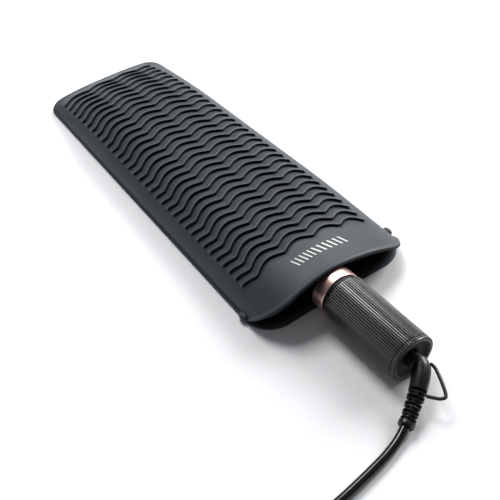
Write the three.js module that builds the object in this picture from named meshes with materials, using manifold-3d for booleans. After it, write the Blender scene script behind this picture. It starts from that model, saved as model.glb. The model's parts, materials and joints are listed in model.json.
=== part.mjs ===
// Curling iron with a spring clamp, lying in its silicone heat sleeve, with a swivelling mains lead.
// Millimetres, +Z up. The origin is on the table under the middle of the iron and sleeve, +X runs
// along the iron towards the lead, and +Y is the side on which the clamp opens.
import * as THREE from 'three';
import { mergeVertices } from 'three/addons/utils/BufferGeometryUtils.js';
import Module from 'manifold-3d';

const wasm = await Module();
wasm.setup();

// ---- driving dimensions -------------------------------------------------------------------------
const GAP = 0.3; // running gap between pieces that touch
const IRON = { x: 139, y: -9.8, z: 17.5 }; // where the front of the ribbed grip meets the iron's axis

// Stations along the iron's axis, measured from the front of the ribbed grip.
const GRIP = { front: 2.5, back: 66, radius: 17.2, bore: 15.2 };
const CAP = { back: 70, radius: 16.9, dish: 12.5, hole: 6.5 };
const SEAL = { front: 0.4, radius: 15.9 };
const RING = { front: -12, back: 0.1, radius: 16.6 };
const HOUSING = { front: -75, back: -12.3, wall: 1.7 };
const HOUSING_OUTLINE = [[-75, 11.2], [-45, 12.2], [-20, 14.6], [-12.3, 15.2]];
const COLLAR = { front: -84, back: -75.3, radius: 11 };
const BARREL = { front: -240, back: -77, radius: 9.5, wall: 0.8 };
const TIP = { front: -262, radius: 9.6 };
const FRAME = { front: -11.5, back: 50, radius: 14.8, wall: 1.6 };
const CORE = { front: -232, back: -96, radius: 8.4, slit: 1.5 };

// Spring clamp: it turns about a pin that stands upright beside the barrel.
const PIVOT = { x: -92, y: 14 };
const CLAMP_SWING = THREE.MathUtils.degToRad(11);
const SPOON = { front: -237, back: -104, bore: 10.1, thick: 0.8, half: THREE.MathUtils.degToRad(38) };
const LEVER = { reach: 50, width: 13, thick: 1.8 };
const PIN_RADIUS = 1.2;

// Controls on top of the housing.
const DISPLAY = { front: -36, back: -23, half: 4 };
const BUTTONS = [['power_button', -43.5], ['plus_button', -54], ['minus_button', -64.5]];
const BUTTON = { radius: 2.8, foot: 3.7, travel: 0.5 };

// Swivel and strain relief.
const SWIVEL = { neck: 6.1, flange: 9.2, bearing: 12.8, front: 51, flangeFront: 58.5, flangeBack: 62 };
const STEM_BACK = 72.5;

// Sleeve: two bonded silicone sheets, open at the mouth.
const SLEEVE = {
  closed: -210.9, // x of the closed end
  lip: 129, // x of the upper sheet's lip
  lowerLip: 125.8, // x of the lower sheet's lip
  mouthHalf: 66.5,
  closedHalf: 56.5,
  crownY: -10,
  sheet: 2,
  floor: 1.8,
  seam: 2.2,
  mouthCorner: 22,
  closedCorner: 14,
};

// Mains lead.
const CORD = { radius: 3.25, sides: 10 };
const COIL = { x: 297, y: -150, inner: 22.9, outer: 49.3, bottom: 1.4, top: 14.6 };

const IRON_FRAME = new THREE.Group();
IRON_FRAME.position.set(IRON.x, IRON.y, IRON.z);

// ---- materials ----------------------------------------------------------------------------------
function finish(color, roughness, metalness) {
  return new THREE.MeshStandardMaterial({ color, roughness, metalness });
}
const SILICONE = finish(0x565c61, 0.6, 0);
const BLACK_SATIN = finish(0x1c1c1e, 0.38, 0);
const BLACK_GLOSS = finish(0x101011, 0.18, 0);
const SOFT_BLACK = finish(0x151516, 0.5, 0);
const ROSE_GOLD = finish(0xd99b8c, 0.22, 1);
const CERAMIC = finish(0x2a2524, 0.3, 0.2);
const ALUMINIUM = finish(0xb9bcc0, 0.4, 1);
const STEEL = finish(0xc4c6c9, 0.3, 1);
const BRASS = finish(0xc9a25a, 0.3, 1);
const INSULATOR = finish(0xe8e2d4, 0.7, 0);
const BOARD_GREEN = finish(0x1f5a3a, 0.5, 0);

// ---- shape helpers ------------------------------------------------------------------------------
// Six times the signed volume of a closed mesh: negative when its faces point inwards.
function signedVolume(geometry) {
  const p = geometry.attributes.position;
  const index = geometry.index;
  const count = index ? index.count : p.count;
  const a = new THREE.Vector3();
  const b = new THREE.Vector3();
  const c = new THREE.Vector3();
  let sum = 0;
  for (let i = 0; i < count; i += 3) {
    a.fromBufferAttribute(p, index ? index.getX(i) : i);
    b.fromBufferAttribute(p, index ? index.getX(i + 1) : i + 1);
    c.fromBufferAttribute(p, index ? index.getX(i + 2) : i + 2);
    sum += a.dot(b.cross(c));
  }
  return sum;
}

// A geometry with shared vertices, no seams, and faces that point outwards.
function welded(geometry) {
  geometry.deleteAttribute('normal');
  geometry.deleteAttribute('uv');
  const merged = mergeVertices(geometry, 1e-4);
  if (signedVolume(merged) < 0) {
    const index = merged.index.array;
    for (let i = 0; i < index.length; i += 3) {
      const swap = index[i];
      index[i] = index[i + 1];
      index[i + 1] = swap;
    }
  }
  return merged;
}

function toSolid(geometry) {
  const g = welded(geometry);
  const mesh = new wasm.Mesh({
    numProp: 3,
    vertProperties: new Float32Array(g.attributes.position.array),
    triVerts: new Uint32Array(g.index.array),
  });
  return new wasm.Manifold(mesh);
}

function toGeometry(solid) {
  const mesh = solid.getMesh();
  const geometry = new THREE.BufferGeometry();
  geometry.setAttribute('position', new THREE.BufferAttribute(new Float32Array(mesh.vertProperties), 3));
  geometry.setIndex(new THREE.BufferAttribute(new Uint32Array(mesh.triVerts), 1));
  return geometry;
}

function cut(base, ...tools) {
  return toGeometry(tools.reduce((left, tool) => left.subtract(toSolid(tool)), toSolid(base)));
}

function join(...pieces) {
  return toGeometry(pieces.slice(1).reduce((all, piece) => all.add(toSolid(piece)), toSolid(pieces[0])));
}

function box(x0, x1, y0, y1, z0, z1) {
  const geometry = new THREE.BoxGeometry(x1 - x0, y1 - y0, z1 - z0);
  return geometry.translate((x0 + x1) / 2, (y0 + y1) / 2, (z0 + z1) / 2);
}

// A body of revolution about the X axis from [x, radius] pairs; its outline starts and ends on the
// axis, or closes on itself.
function turned(outline, sides = 40) {
  const points = outline.map(([x, r]) => new THREE.Vector2(r, x));
  return new THREE.LatheGeometry(points, sides).rotateZ(-Math.PI / 2);
}

function solidTurned(outline, sides) {
  return turned([[outline[0][0], 0], ...outline, [outline[outline.length - 1][0], 0]], sides);
}

function tube(x0, x1, outer, inner, sides) {
  return turned([[x0, inner], [x0, outer], [x1, outer], [x1, inner], [x0, inner]], sides);
}

function rodX(x0, x1, radius, sides = 16) {
  return solidTurned([[x0, radius], [x1, radius]], sides);
}

function rodZ(x, y, z0, z1, radius, sides = 16) {
  const rod = new THREE.CylinderGeometry(radius, radius, z1 - z0, sides).rotateX(Math.PI / 2);
  return rod.translate(x, y, (z0 + z1) / 2);
}

function rodY(x, z, y0, y1, radius, sides = 12) {
  return new THREE.CylinderGeometry(radius, radius, y1 - y0, sides).translate(x, (y0 + y1) / 2, z);
}

// A closed skin between two grids of points that have the same rows and columns.
function shell(outer, inner) {
  const rows = outer.length;
  const columns = outer[0].length;
  const points = [...outer.flat(), ...inner.flat()];
  const at = (side, r, c) => side * rows * columns + r * columns + c;
  const faces = [];
  const quad = (a, b, c, d) => faces.push(a, b, c, a, c, d);
  for (let r = 0; r < rows - 1; r += 1) {
    for (let c = 0; c < columns - 1; c += 1) {
      quad(at(0, r, c), at(0, r + 1, c), at(0, r + 1, c + 1), at(0, r, c + 1));
      quad(at(1, r, c), at(1, r, c + 1), at(1, r + 1, c + 1), at(1, r + 1, c));
    }
    const last = columns - 1;
    quad(at(0, r, 0), at(1, r, 0), at(1, r + 1, 0), at(0, r + 1, 0));
    quad(at(0, r, last), at(0, r + 1, last), at(1, r + 1, last), at(1, r, last));
  }
  for (let c = 0; c < columns - 1; c += 1) {
    const last = rows - 1;
    quad(at(0, 0, c), at(0, 0, c + 1), at(1, 0, c + 1), at(1, 0, c));
    quad(at(0, last, c), at(1, last, c), at(1, last, c + 1), at(0, last, c + 1));
  }
  const geometry = new THREE.BufferGeometry();
  const flat = points.flatMap((p) => [p.x, p.y, p.z]);
  geometry.setAttribute('position', new THREE.Float32BufferAttribute(flat, 3));
  geometry.setIndex(faces);
  return geometry;
}

// A round rod whose radius changes along a curve; radiusAt takes 0 at its start to 1 at its end.
function taperedRod(curve, radiusAt, steps, sides) {
  const frames = curve.computeFrenetFrames(steps, false);
  const rows = [];
  for (let i = 0; i <= steps; i += 1) {
    const centre = curve.getPointAt(i / steps);
    const radius = radiusAt(i / steps);
    const ring = [];
    for (let k = 0; k <= sides; k += 1) {
      const turn = (2 * Math.PI * (k % sides)) / sides;
      const offset = frames.normals[i].clone().multiplyScalar(radius * Math.cos(turn));
      offset.addScaledVector(frames.binormals[i], radius * Math.sin(turn));
      ring.push(centre.clone().add(offset));
    }
    rows.push(ring);
  }
  const ends = [0, steps].map((i) => curve.getPointAt(i / steps));
  const capped = [rows[0].map(() => ends[0]), ...rows, rows[0].map(() => ends[1])];
  return ringSurface(capped);
}

// A closed surface through rings of points, whose first and last rings have shrunk to a point.
function ringSurface(rings) {
  const columns = rings[0].length;
  const faces = [];
  for (let r = 0; r < rings.length - 1; r += 1) {
    for (let c = 0; c < columns - 1; c += 1) {
      const a = r * columns + c;
      const b = a + columns;
      if (r > 0) faces.push(a, a + 1, b + 1);
      if (r < rings.length - 2) faces.push(a, b + 1, b);
    }
  }
  const geometry = new THREE.BufferGeometry();
  const flat = rings.flat().flatMap((p) => [p.x, p.y, p.z]);
  geometry.setAttribute('position', new THREE.Float32BufferAttribute(flat, 3));
  geometry.setIndex(faces);
  return geometry;
}

// A plate with the outline of [x, y] pairs, standing between two heights.
function plate(outline, z0, z1) {
  const shape = new THREE.Shape(outline.map(([x, y]) => new THREE.Vector2(x, y)));
  return new THREE.ExtrudeGeometry(shape, { depth: z1 - z0, bevelEnabled: false }).translate(0, 0, z0);
}

function add(group, name, geometry, material) {
  const mesh = new THREE.Mesh(welded(geometry), material);
  mesh.name = name;
  group.add(mesh);
  return mesh;
}

// ---- grip, ring and end cap ---------------------------------------------------------------------
function addGrip(iron) {
  add(iron, 'grip_shell', tube(GRIP.front, GRIP.back, GRIP.radius, GRIP.bore, 48), BLACK_SATIN);
  add(iron, 'seal_ring', tube(SEAL.front, GRIP.front - GAP, SEAL.radius, GRIP.bore, 40), SOFT_BLACK);
  add(iron, 'rose_gold_ring', tube(RING.front, RING.back, RING.radius, GRIP.bore, 48), ROSE_GOLD);
  const front = GRIP.back + GAP;
  const dishFloor = front + 1.6;
  const outline = [
    [front, CAP.hole],
    [front, CAP.radius],
    [CAP.back - 0.8, CAP.radius],
    [CAP.back, CAP.radius - 0.8],
    [CAP.back, CAP.dish],
    [dishFloor, CAP.dish - 1.8],
    [dishFloor, CAP.hole],
    [front, CAP.hole],
  ];
  add(iron, 'end_cap', turned(outline, 40), BLACK_SATIN);
}

// ---- inner frame in the grip: two half tubes held by two screws ---------------------------------
function addInnerFrame(iron) {
  const { front, back, radius, wall } = FRAME;
  const screws = [['frame_screw_front', 12], ['frame_screw_back', 38]];
  const whole = () => tube(front, back, radius, radius - wall, 32);
  const posts = (z0, z1) => screws.map(([, x]) => rodZ(x, 0, z0, z1, 3));
  const bores = (z0, z1, r) => screws.map(([, x]) => rodZ(x, 0, z0, z1, r));
  const inside = radius - wall / 2;
  const upper = cut(join(whole(), ...posts(0, inside)), box(front - 1, back + 1, -20, 20, -20, GAP / 2),
    ...bores(-1, 9, 1.4));
  const lower = cut(join(whole(), ...posts(-inside, 0)), box(front - 1, back + 1, -20, 20, -GAP / 2, 20),
    ...bores(-20, 0, 1.5), ...bores(-20, -9, 2.7));
  add(iron, 'inner_frame_upper', upper, SOFT_BLACK);
  add(iron, 'inner_frame_lower', lower, SOFT_BLACK);
  screws.forEach(([name, x]) => {
    add(iron, name, join(rodZ(x, 0, -11.2, -9 - GAP, 2.3), rodZ(x, 0, -10, 7, 1.05)), STEEL);
  });
}

// ---- control housing: upper and lower shells, with the controls ---------------------------------
function housingRadius(x) {
  const next = HOUSING_OUTLINE.findIndex(([station]) => station >= x);
  const [x0, r0] = HOUSING_OUTLINE[Math.max(next - 1, 0)];
  const [x1, r1] = HOUSING_OUTLINE[Math.max(next, 1)];
  return r0 + ((r1 - r0) * (x - x0)) / (x1 - x0);
}

function housingTube() {
  const inside = [...HOUSING_OUTLINE].reverse().map(([x, r]) => [x, r - HOUSING.wall]);
  return turned([...HOUSING_OUTLINE, ...inside, HOUSING_OUTLINE[0]], 40);
}

function addHousing(iron) {
  const { front, back } = HOUSING;
  const screws = [['housing_screw_front', -71.3], ['housing_screw_back', -17]];
  const buttonHoles = BUTTONS.map(([, x]) => rodZ(x, 0, 5, 20, BUTTON.radius + GAP, 20));
  const window = box(DISPLAY.front, DISPLAY.back, -DISPLAY.half, DISPLAY.half, 5, 20);
  const posts = (low) => screws.map(([, x]) => {
    const reach = housingRadius(x) - HOUSING.wall / 2;
    return low ? rodZ(x, 0, -reach, 0, 2.7) : rodZ(x, 0, 0, reach, 2.7);
  });
  const upper = cut(join(housingTube(), ...posts(false)), box(front - 1, back + 1, -20, 20, -20, GAP / 2),
    ...buttonHoles, window, ...screws.map(([, x]) => rodZ(x, 0, -1, 6, 1.3)));
  const lower = cut(join(housingTube(), ...posts(true)), box(front - 1, back + 1, -20, 20, -GAP / 2, 20),
    ...screws.map(([, x]) => rodZ(x, 0, -20, 0, 1.4)), ...screws.map(([, x]) => rodZ(x, 0, -20, -6.5, 2.4)));
  add(iron, 'housing_upper', upper, BLACK_SATIN);
  add(iron, 'housing_lower', lower, BLACK_SATIN);
  screws.forEach(([name, x]) => {
    add(iron, name, join(rodZ(x, 0, -8.6, -6.5 - GAP, 2.05), rodZ(x, 0, -8, 4.5, 1)), STEEL);
  });
}

function addControls(iron) {
  add(iron, 'control_board', box(-67.5, -20.5, -6.5, 6.5, 2.6, 4.2), BOARD_GREEN);
  const { front, back, half } = DISPLAY;
  add(iron, 'display_module', box(front + GAP, back - GAP, -half + GAP, half - GAP, 4.5, 10.2), INSULATOR);
  const lens = [[front + GAP, 10.5], [front + GAP, 12.8], [back - GAP, 14.1], [back - GAP, 10.5]];
  const lensSide = plate(lens, -half + GAP, half - GAP).rotateX(Math.PI / 2);
  add(iron, 'display_lens', lensSide, BLACK_GLOSS);
  BUTTONS.forEach(([name, x]) => {
    const top = housingRadius(x) + 0.6;
    const under = housingRadius(x) - HOUSING.wall - 1.2;
    const foot = rodZ(x, 0, under - 1, under, BUTTON.foot, 20);
    const cap = join(rodZ(x, 0, under - 1, top, BUTTON.radius, 20), foot);
    add(iron, name, cap, BLACK_GLOSS);
  });
  add(iron, 'thermal_fuse', rodX(-66, -52, 1.6), STEEL).position.set(0, 0, -3.5);
}

// ---- barrel, heater and tip ---------------------------------------------------------------------
function addBarrel(iron) {
  const { front, back, radius, wall } = BARREL;
  const bore = radius - wall;
  add(iron, 'barrel_tube', tube(front, back, radius, bore, 40), CERAMIC);
  const collar = [
    [COLLAR.front, radius + GAP],
    [COLLAR.front, COLLAR.radius - 0.6],
    [COLLAR.front + 0.6, COLLAR.radius],
    [COLLAR.back, COLLAR.radius],
    [COLLAR.back, radius + GAP],
    [COLLAR.front, radius + GAP],
  ];
  add(iron, 'heat_collar', turned(collar, 40), BLACK_SATIN);
  const core = () => rodX(CORE.front, CORE.back, CORE.radius, 32);
  const wireBore = () => rodX(-140, CORE.back + 1, 1.2, 12).translate(0, 0, 5);
  add(iron, 'heater_core_upper', cut(core(), box(-250, -80, -20, 20, -20, CORE.slit), wireBore()), ALUMINIUM);
  add(iron, 'heater_core_lower', cut(core(), box(-250, -80, -20, 20, -CORE.slit, 20)), ALUMINIUM);
  const plateHalf = CORE.slit - GAP;
  add(iron, 'heater_plate', box(-222, -100, -6, 6, -plateHalf, plateHalf), INSULATOR);
  add(iron, 'thermistor', rodX(-132, -90, 0.8, 10).translate(0, 0, 5), STEEL);
  const plug = bore - GAP;
  const nose = [
    [TIP.front, 5.4],
    [TIP.front + 1.2, 7.2],
    [TIP.front + 4, 8.9],
    [TIP.front + 9, TIP.radius],
    [front - GAP, TIP.radius],
    [front - GAP, plug],
    [front + 5, plug],
  ];
  add(iron, 'cool_tip', cut(solidTurned(nose, 40), rodX(TIP.front - 1, front + 6, 1.4),
    rodX(TIP.front - 1, TIP.front + 3, 3)), SOFT_BLACK);
  const head = rodX(TIP.front + 1.4, TIP.front + 3 - GAP, 2.6);
  add(iron, 'tip_screw', join(head, rodX(TIP.front + 2, front + 3, 1.1)), STEEL);
}

// ---- clamp: bracket, pin, spring, spoon and lever -----------------------------------------------
function addClampMount(iron) {
  const { x, y } = PIVOT;
  const saddle = box(x - 7, x + 6, 6.5, y - 2.8, -9.3, 9.3);
  const ears = [1, -1].map((side) => {
    const ear = plate([[x - 5, 7], [x + 5, 7], [x + 3, y + 2.6], [x - 3, y + 2.6]], -0.65, 0.65);
    return ear.translate(0, 0, side * 8.65);
  });
  const bracket = cut(join(saddle, ...ears), rodX(x - 9, x + 8, BARREL.radius + GAP, 40),
    rodZ(x, y, -12, 12, PIN_RADIUS + 0.2));
  add(iron, 'clamp_bracket', bracket, STEEL);
  add(iron, 'clamp_pin', rodZ(x, y, -10, 10, PIN_RADIUS, 20), STEEL);
  const turns = 4;
  const coil = [];
  for (let i = 0; i <= turns * 12; i += 1) {
    const angle = -Math.PI / 2 + (2 * Math.PI * i) / 12;
    const z = -2 + (4 * i) / (turns * 12);
    coil.push(new THREE.Vector3(x + 2 * Math.cos(angle), y + 2 * Math.sin(angle), z));
  }
  const legs = [new THREE.Vector3(x - 5, y - 2.2, -2), ...coil, new THREE.Vector3(x + 5, y - 2.2, 2)];
  const path = new THREE.CatmullRomCurve3(legs);
  add(iron, 'clamp_spring', taperedRod(path, () => 0.28, 72, 6), STEEL);
}

function addClamp(iron) {
  const { front, back, bore, thick, half } = SPOON;
  const arc = (x, radius, spread) => {
    const row = [];
    for (let i = 0; i <= 10; i += 1) {
      const angle = spread * (i / 5 - 1);
      row.push(new THREE.Vector3(x, radius * Math.cos(angle), radius * Math.sin(angle)));
    }
    return row;
  };
  // Along the spoon: place, share of the full half angle, and lift off the barrel.
  const stations = [
    [front, 0.42, 1.6],
    [front + 4, 0.75, 0.5],
    [front + 14, 0.92, 0],
    [front + 40, 1, 0],
    [back, 1, 0],
  ];
  const outer = stations.map(([x, share, lift]) => arc(x, bore + thick + lift, half * share));
  const inner = stations.map(([x, share, lift]) => arc(x, bore + lift, half * share));
  add(iron, 'clamp_spoon', shell(outer, inner), CERAMIC);

  const { x, y } = PIVOT;
  const seat = bore + thick + GAP;
  const slope = Math.tan(CLAMP_SWING);
  const under = y - 0.6;
  const end = x + LEVER.reach;
  const outline = [
    [back - 14, seat],
    [back, seat],
    [x - 4, y - 2.2],
    [x, y - 2.4],
    [x + 3, under + 3 * slope - 0.4],
    [end, under + LEVER.reach * slope],
    [end, under + LEVER.reach * slope + LEVER.thick],
    [x + 4, under + 4 * slope + LEVER.thick],
    [x, y + 2.4],
    [x - 4, y + 1.2],
    [back, seat + 1.2],
    [back - 14, seat + 1.2],
  ];
  const halfWidth = LEVER.width / 2;
  const rivets = [['clamp_rivet_front', back - 10.5], ['clamp_rivet_back', back - 4]];
  const pinBore = rodZ(x, y, -12, 12, PIN_RADIUS + GAP, 16);
  const springBay = box(x - 3.4, x + 3.4, y - 4, y + 4, -3.2, 3.2);
  const springLegs = box(x - 7, x + 7, y - 4, y - 1.2, -3.2, 3.2);
  const rivetBores = rivets.map(([, rx]) => rodY(rx, 0, 8, 16, 1.3));
  const lever = cut(plate(outline, -halfWidth, halfWidth), pinBore, springBay, springLegs, ...rivetBores);
  add(iron, 'clamp_lever', lever, STEEL);
  rivets.forEach(([name, rx]) => {
    const head = rodY(rx, 0, seat + 1.2 + GAP, seat + 2.2, 2);
    add(iron, name, join(head, rodY(rx, 0, seat - GAP + 0.05, seat + 1.8, 1)), STEEL);
  });
  const padFront = new THREE.Vector3(end - 16, under + (LEVER.reach - 16) * slope + LEVER.thick + GAP, 0);
  const pad = plate([[0, 0], [17.5, 17.5 * slope], [17.2, 17.2 * slope + 1.8], [9, 9 * slope + 1.3], [1, 1.4]],
    -halfWidth - 0.4, halfWidth + 0.4);
  add(iron, 'thumb_rest', pad.translate(padFront.x, padFront.y, 0), SOFT_BLACK);
}

// ---- swivel -------------------------------------------------------------------------------------
function addSwivel(iron) {
  const { neck, flange, bearing, front, flangeFront, flangeBack } = SWIVEL;
  const cup = [
    [front, 4],
    [front, bearing],
    [GRIP.back, bearing],
    [GRIP.back, neck + 0.4],
    [flangeBack + GAP, neck + 0.4],
    [flangeBack + GAP, flange + 0.4],
    [front + 2, flange + 0.4],
    [front + 2, 4],
    [front, 4],
  ];
  add(iron, 'swivel_bearing', turned(cup, 32), SOFT_BLACK);
  const stem = [[flangeFront, flange], [flangeBack, flange], [flangeBack, neck], [STEM_BACK, neck]];
  add(iron, 'swivel_stem', solidTurned(stem, 32), SOFT_BLACK);
  const contact = (outer, inner) => tube(flangeFront - 0.9, flangeFront - GAP, outer, inner, 24);
  add(iron, 'contact_ring_outer', contact(8, 6.4), BRASS);
  add(iron, 'contact_ring_inner', contact(4.6, 3), BRASS);
  const brushBack = flangeFront - 0.9 - GAP;
  const brush = (y) => box(front + 2 + GAP, brushBack, y - 0.6, y + 0.6, -1.5, 1.5);
  add(iron, 'brush_outer', brush(7.2), BRASS);
  add(iron, 'brush_inner', brush(-3.8), BRASS);
}

// ---- strain relief, hanging loop, lead, coil and plug -------------------------------------------
// The route of the relief and lead, from the swivel's stem to the coil.
const RELIEF_ROUTE = [
  [211.9, -9.8, 17.5],
  [214.2, -9.8, 17.5],
  [217.4, -11.3, 17.1],
  [221.6, -15.9, 15.5],
  [226.5, -23.0, 12.5],
  [231.4, -31.6, 8.6],
  [235.0, -38.0, 6.2],
  [237.2, -42.6, 5.2],
];
const LEAD_ROUTE = [
  [237.4, -43.1, 5.15],
  [240.8, -51.5, 3.8],
  [244.1, -63.5, 3.35],
  [246.4, -77.0, 3.3],
  [248.4, -91.5, 3.3],
  [249.9, -104.0, 3.5],
  [250.9, -114.5, 4.1],
  [251.1, -123.4, 4.5],
];
const LOOP_ROUTE = [
  [217.8, -3.6, 17.2],
  [223.0, -4.0, 16.8],
  [234.0, -8.6, 15.4],
  [240.2, -12.4, 14.2],
  [239.4, -15.6, 13.6],
  [236.4, -18.0, 13.2],
  [232.0, -20.6, 12.7],
];
const TAIL_ROUTE = [
  [342.9, -123.4, 10.8],
  [342.9, -117.0, 9.8],
  [342.9, -108.0, 8.5],
  [342.9, -100.6, 8.4],
];
const PLUG = {
  x: 342.9,
  rear: -100.1,
  front: -62,
  half: 12.5,
  height: 16.5,
  bladeLength: 17,
  bladeHalf: 3.15,
};

function curveThrough(points) {
  const places = points.map(([x, y, z]) => new THREE.Vector3(x, y, z));
  return new THREE.CatmullRomCurve3(places, false, 'centripetal');
}

function sweptCord(points, steps) {
  const section = new THREE.Shape();
  section.absarc(0, 0, CORD.radius, 0, 2 * Math.PI);
  return new THREE.ExtrudeGeometry(section, {
    curveSegments: CORD.sides / 2,
    steps,
    extrudePath: curveThrough(points),
  });
}

function addLead(root) {
  const reliefRadius = (t) => 6.1 - 1.2 * Math.max(0, t - 0.25) / 0.75;
  add(root, 'strain_relief', taperedRod(curveThrough(RELIEF_ROUTE), reliefRadius, 16, 14), SOFT_BLACK);
  add(root, 'hanging_loop', taperedRod(curveThrough(LOOP_ROUTE), () => 1.2, 18, 8), SOFT_BLACK);
  add(root, 'cord_lead', sweptCord(LEAD_ROUTE, 6), SOFT_BLACK);
  const { x, y, inner, outer, bottom, top } = COIL;
  const ring = [[inner, bottom], [outer, bottom], [outer, top], [inner, top], [inner, bottom]];
  const coil = new THREE.LatheGeometry(ring.map(([r, z]) => new THREE.Vector2(r, z)), 40);
  add(root, 'cord_coil', coil.rotateX(Math.PI / 2).translate(x, y, 0), SOFT_BLACK);
  const band = cut(box(x - 4, x + 4, y - outer - 1.6, y - inner + 1.9, 0.1, top + 1.4),
    box(x - 5, x + 5, y - outer - 0.4, y - inner + 0.7, bottom - GAP, top + GAP));
  add(root, 'cord_tie', band, SOFT_BLACK);
  add(root, 'cord_tail', sweptCord(TAIL_ROUTE, 6), SOFT_BLACK);
}

function addPlug(root) {
  const { rear, front, half, height, bladeLength, bladeHalf } = PLUG;
  const x = PLUG.x;
  const outline = [
    [x - 5, rear],
    [x - 6, rear + 9],
    [x - half, rear + 18],
    [x - half, front],
    [x + half, front],
    [x + half, rear + 18],
    [x + 6, rear + 9],
    [x + 5, rear],
  ];
  const middle = height / 2 + 0.3;
  const slots = [['plug_blade_left', -6.35], ['plug_blade_right', 6.35]];
  const body = cut(plate(outline, 0.3, height), ...slots.map(([, dx]) => {
    const slotHalf = bladeHalf + GAP;
    return box(x + dx - 1.05, x + dx + 1.05, front - 6, front + 1, middle - slotHalf, middle + slotHalf);
  }));
  add(root, 'plug_body', body, SOFT_BLACK);
  slots.forEach(([name, dx]) => {
    const tip = front + bladeLength;
    const blade = box(x + dx - 0.75, x + dx + 0.75, front - 6 + GAP, tip, middle - bladeHalf,
      middle + bladeHalf);
    add(root, name, blade, BRASS);
  });
}

// ---- sleeve -------------------------------------------------------------------------------------
// Outline of the pouch in plan: half width at a station, and how far the corners stand back.
function halfWidthAt(x) {
  const share = (x - SLEEVE.closed) / (SLEEVE.lip - SLEEVE.closed);
  return SLEEVE.closedHalf + (SLEEVE.mouthHalf - SLEEVE.closedHalf) * share;
}

function cornerSetback(y, half, radius) {
  const into = THREE.MathUtils.clamp((Math.abs(y) - half + radius) / radius, 0, 1);
  return radius * (1 - Math.sqrt(1 - into * into));
}

// Height of the crown along the pouch: over the tip it falls away to the flat closed end.
const CROWN = [
  [SLEEVE.closed, 8],
  [-198, 12.5],
  [-180, 19],
  [-155, 25],
  [-122, 29.6],
  [-60, 29.9],
  [40, 31.2],
  [94, 34.9],
  [SLEEVE.lip, 37],
];

function heightThrough(table, x) {
  const next = Math.max(1, table.findIndex(([station]) => station >= x));
  const [x0, v0] = table[next - 1];
  const [x1, v1] = table[next];
  return v0 + (v1 - v0) * THREE.MathUtils.clamp((x - x0) / (x1 - x0), 0, 1);
}

// Share of the crown's height across the pouch: 1 at the crown, 0 at either seam. side runs from
// -1 to 1. The far side is square-shouldered over the barrel and slopes like a tent at the mouth.
function arch(side, x) {
  if (side < 0) return Math.sqrt(1 - Math.abs(side) ** 1.9);
  const tent = THREE.MathUtils.smoothstep(x, 20, 125);
  const power = 3 - 1.6 * tent;
  return (1 - side ** power) ** (0.5 + 0.1 * tent);
}

// One skin of the upper sheet, drawn in by an inset all round.
function upperSkin(inset) {
  const rows = 20;
  const columns = 24;
  const grid = [];
  for (let i = 0; i <= rows; i += 1) {
    const along = (i / rows) ** 1.7;
    const straight = SLEEVE.closed + (SLEEVE.lip - SLEEVE.closed) * along;
    const half = halfWidthAt(straight) - inset;
    const row = [];
    for (let j = 0; j <= columns; j += 1) {
      const across = (2 * j) / columns - 1;
      const side = Math.sin((Math.PI / 2) * across);
      const reach = side < 0 ? half + SLEEVE.crownY : half - SLEEVE.crownY;
      const y = SLEEVE.crownY + side * reach;
      const low = SLEEVE.closed + inset + cornerSetback(y, half, SLEEVE.closedCorner);
      const high = SLEEVE.lip - cornerSetback(y, half, SLEEVE.mouthCorner);
      const x = low + (high - low) * along;
      const rise = Math.sqrt(1 - (1 - Math.min((x - low) / 7, 1)) ** 2);
      const crown = heightThrough(CROWN, x) - inset - SLEEVE.seam;
      row.push(new THREE.Vector3(x, y, SLEEVE.seam + crown * arch(side, x) * rise));
    }
    grid.push(row);
  }
  return grid;
}

function addSleeve(root) {
  add(root, 'sleeve_upper_sheet', shell(upperSkin(0), upperSkin(SLEEVE.sheet)), SILICONE);
  const outline = [];
  const steps = 40;
  const edge = 0.6;
  for (let i = 0; i <= steps; i += 1) {
    const y = -Math.cos((Math.PI * i) / steps) * (SLEEVE.closedHalf + edge);
    outline.push([SLEEVE.closed - edge + cornerSetback(y, SLEEVE.closedHalf + edge, SLEEVE.closedCorner), y]);
  }
  for (let i = 0; i <= steps; i += 1) {
    const y = Math.cos((Math.PI * i) / steps) * (SLEEVE.mouthHalf + edge);
    outline.push([SLEEVE.lowerLip - cornerSetback(y, SLEEVE.mouthHalf + edge, SLEEVE.mouthCorner), y]);
  }
  const ears = [1, -1].map((side) => box(98, 104, side * 66 - 3.4, side * 66 + 3.4, 0, SLEEVE.floor));
  add(root, 'sleeve_lower_sheet', join(plate(outline, 0, SLEEVE.floor), ...ears), SILICONE);
}

// ---- the whole ----------------------------------------------------------------------------------
const part = new THREE.Group();
part.add(IRON_FRAME);
addGrip(IRON_FRAME);
addInnerFrame(IRON_FRAME);
addHousing(IRON_FRAME);
addControls(IRON_FRAME);
addBarrel(IRON_FRAME);
addClampMount(IRON_FRAME);
addClamp(IRON_FRAME);
addSwivel(IRON_FRAME);
addLead(part);
addPlug(part);
addSleeve(part);

export default part;
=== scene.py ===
"""Looks of a curling iron lying in its silicone heat sleeve, with its swivelling mains lead.

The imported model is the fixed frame. Every piece is worked out in metres in that frame: +X runs along
the iron towards the lead, +Y is the side on which the clamp opens, and +Z is up from the table.
A station is a distance along the iron's axis from the front of the ribbed grip.
"""

import json
import math

import bmesh
import bpy
import numpy as np
from bpy.props import FloatProperty, FloatVectorProperty, IntProperty, PointerProperty
from mathutils import Matrix, Vector


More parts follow.
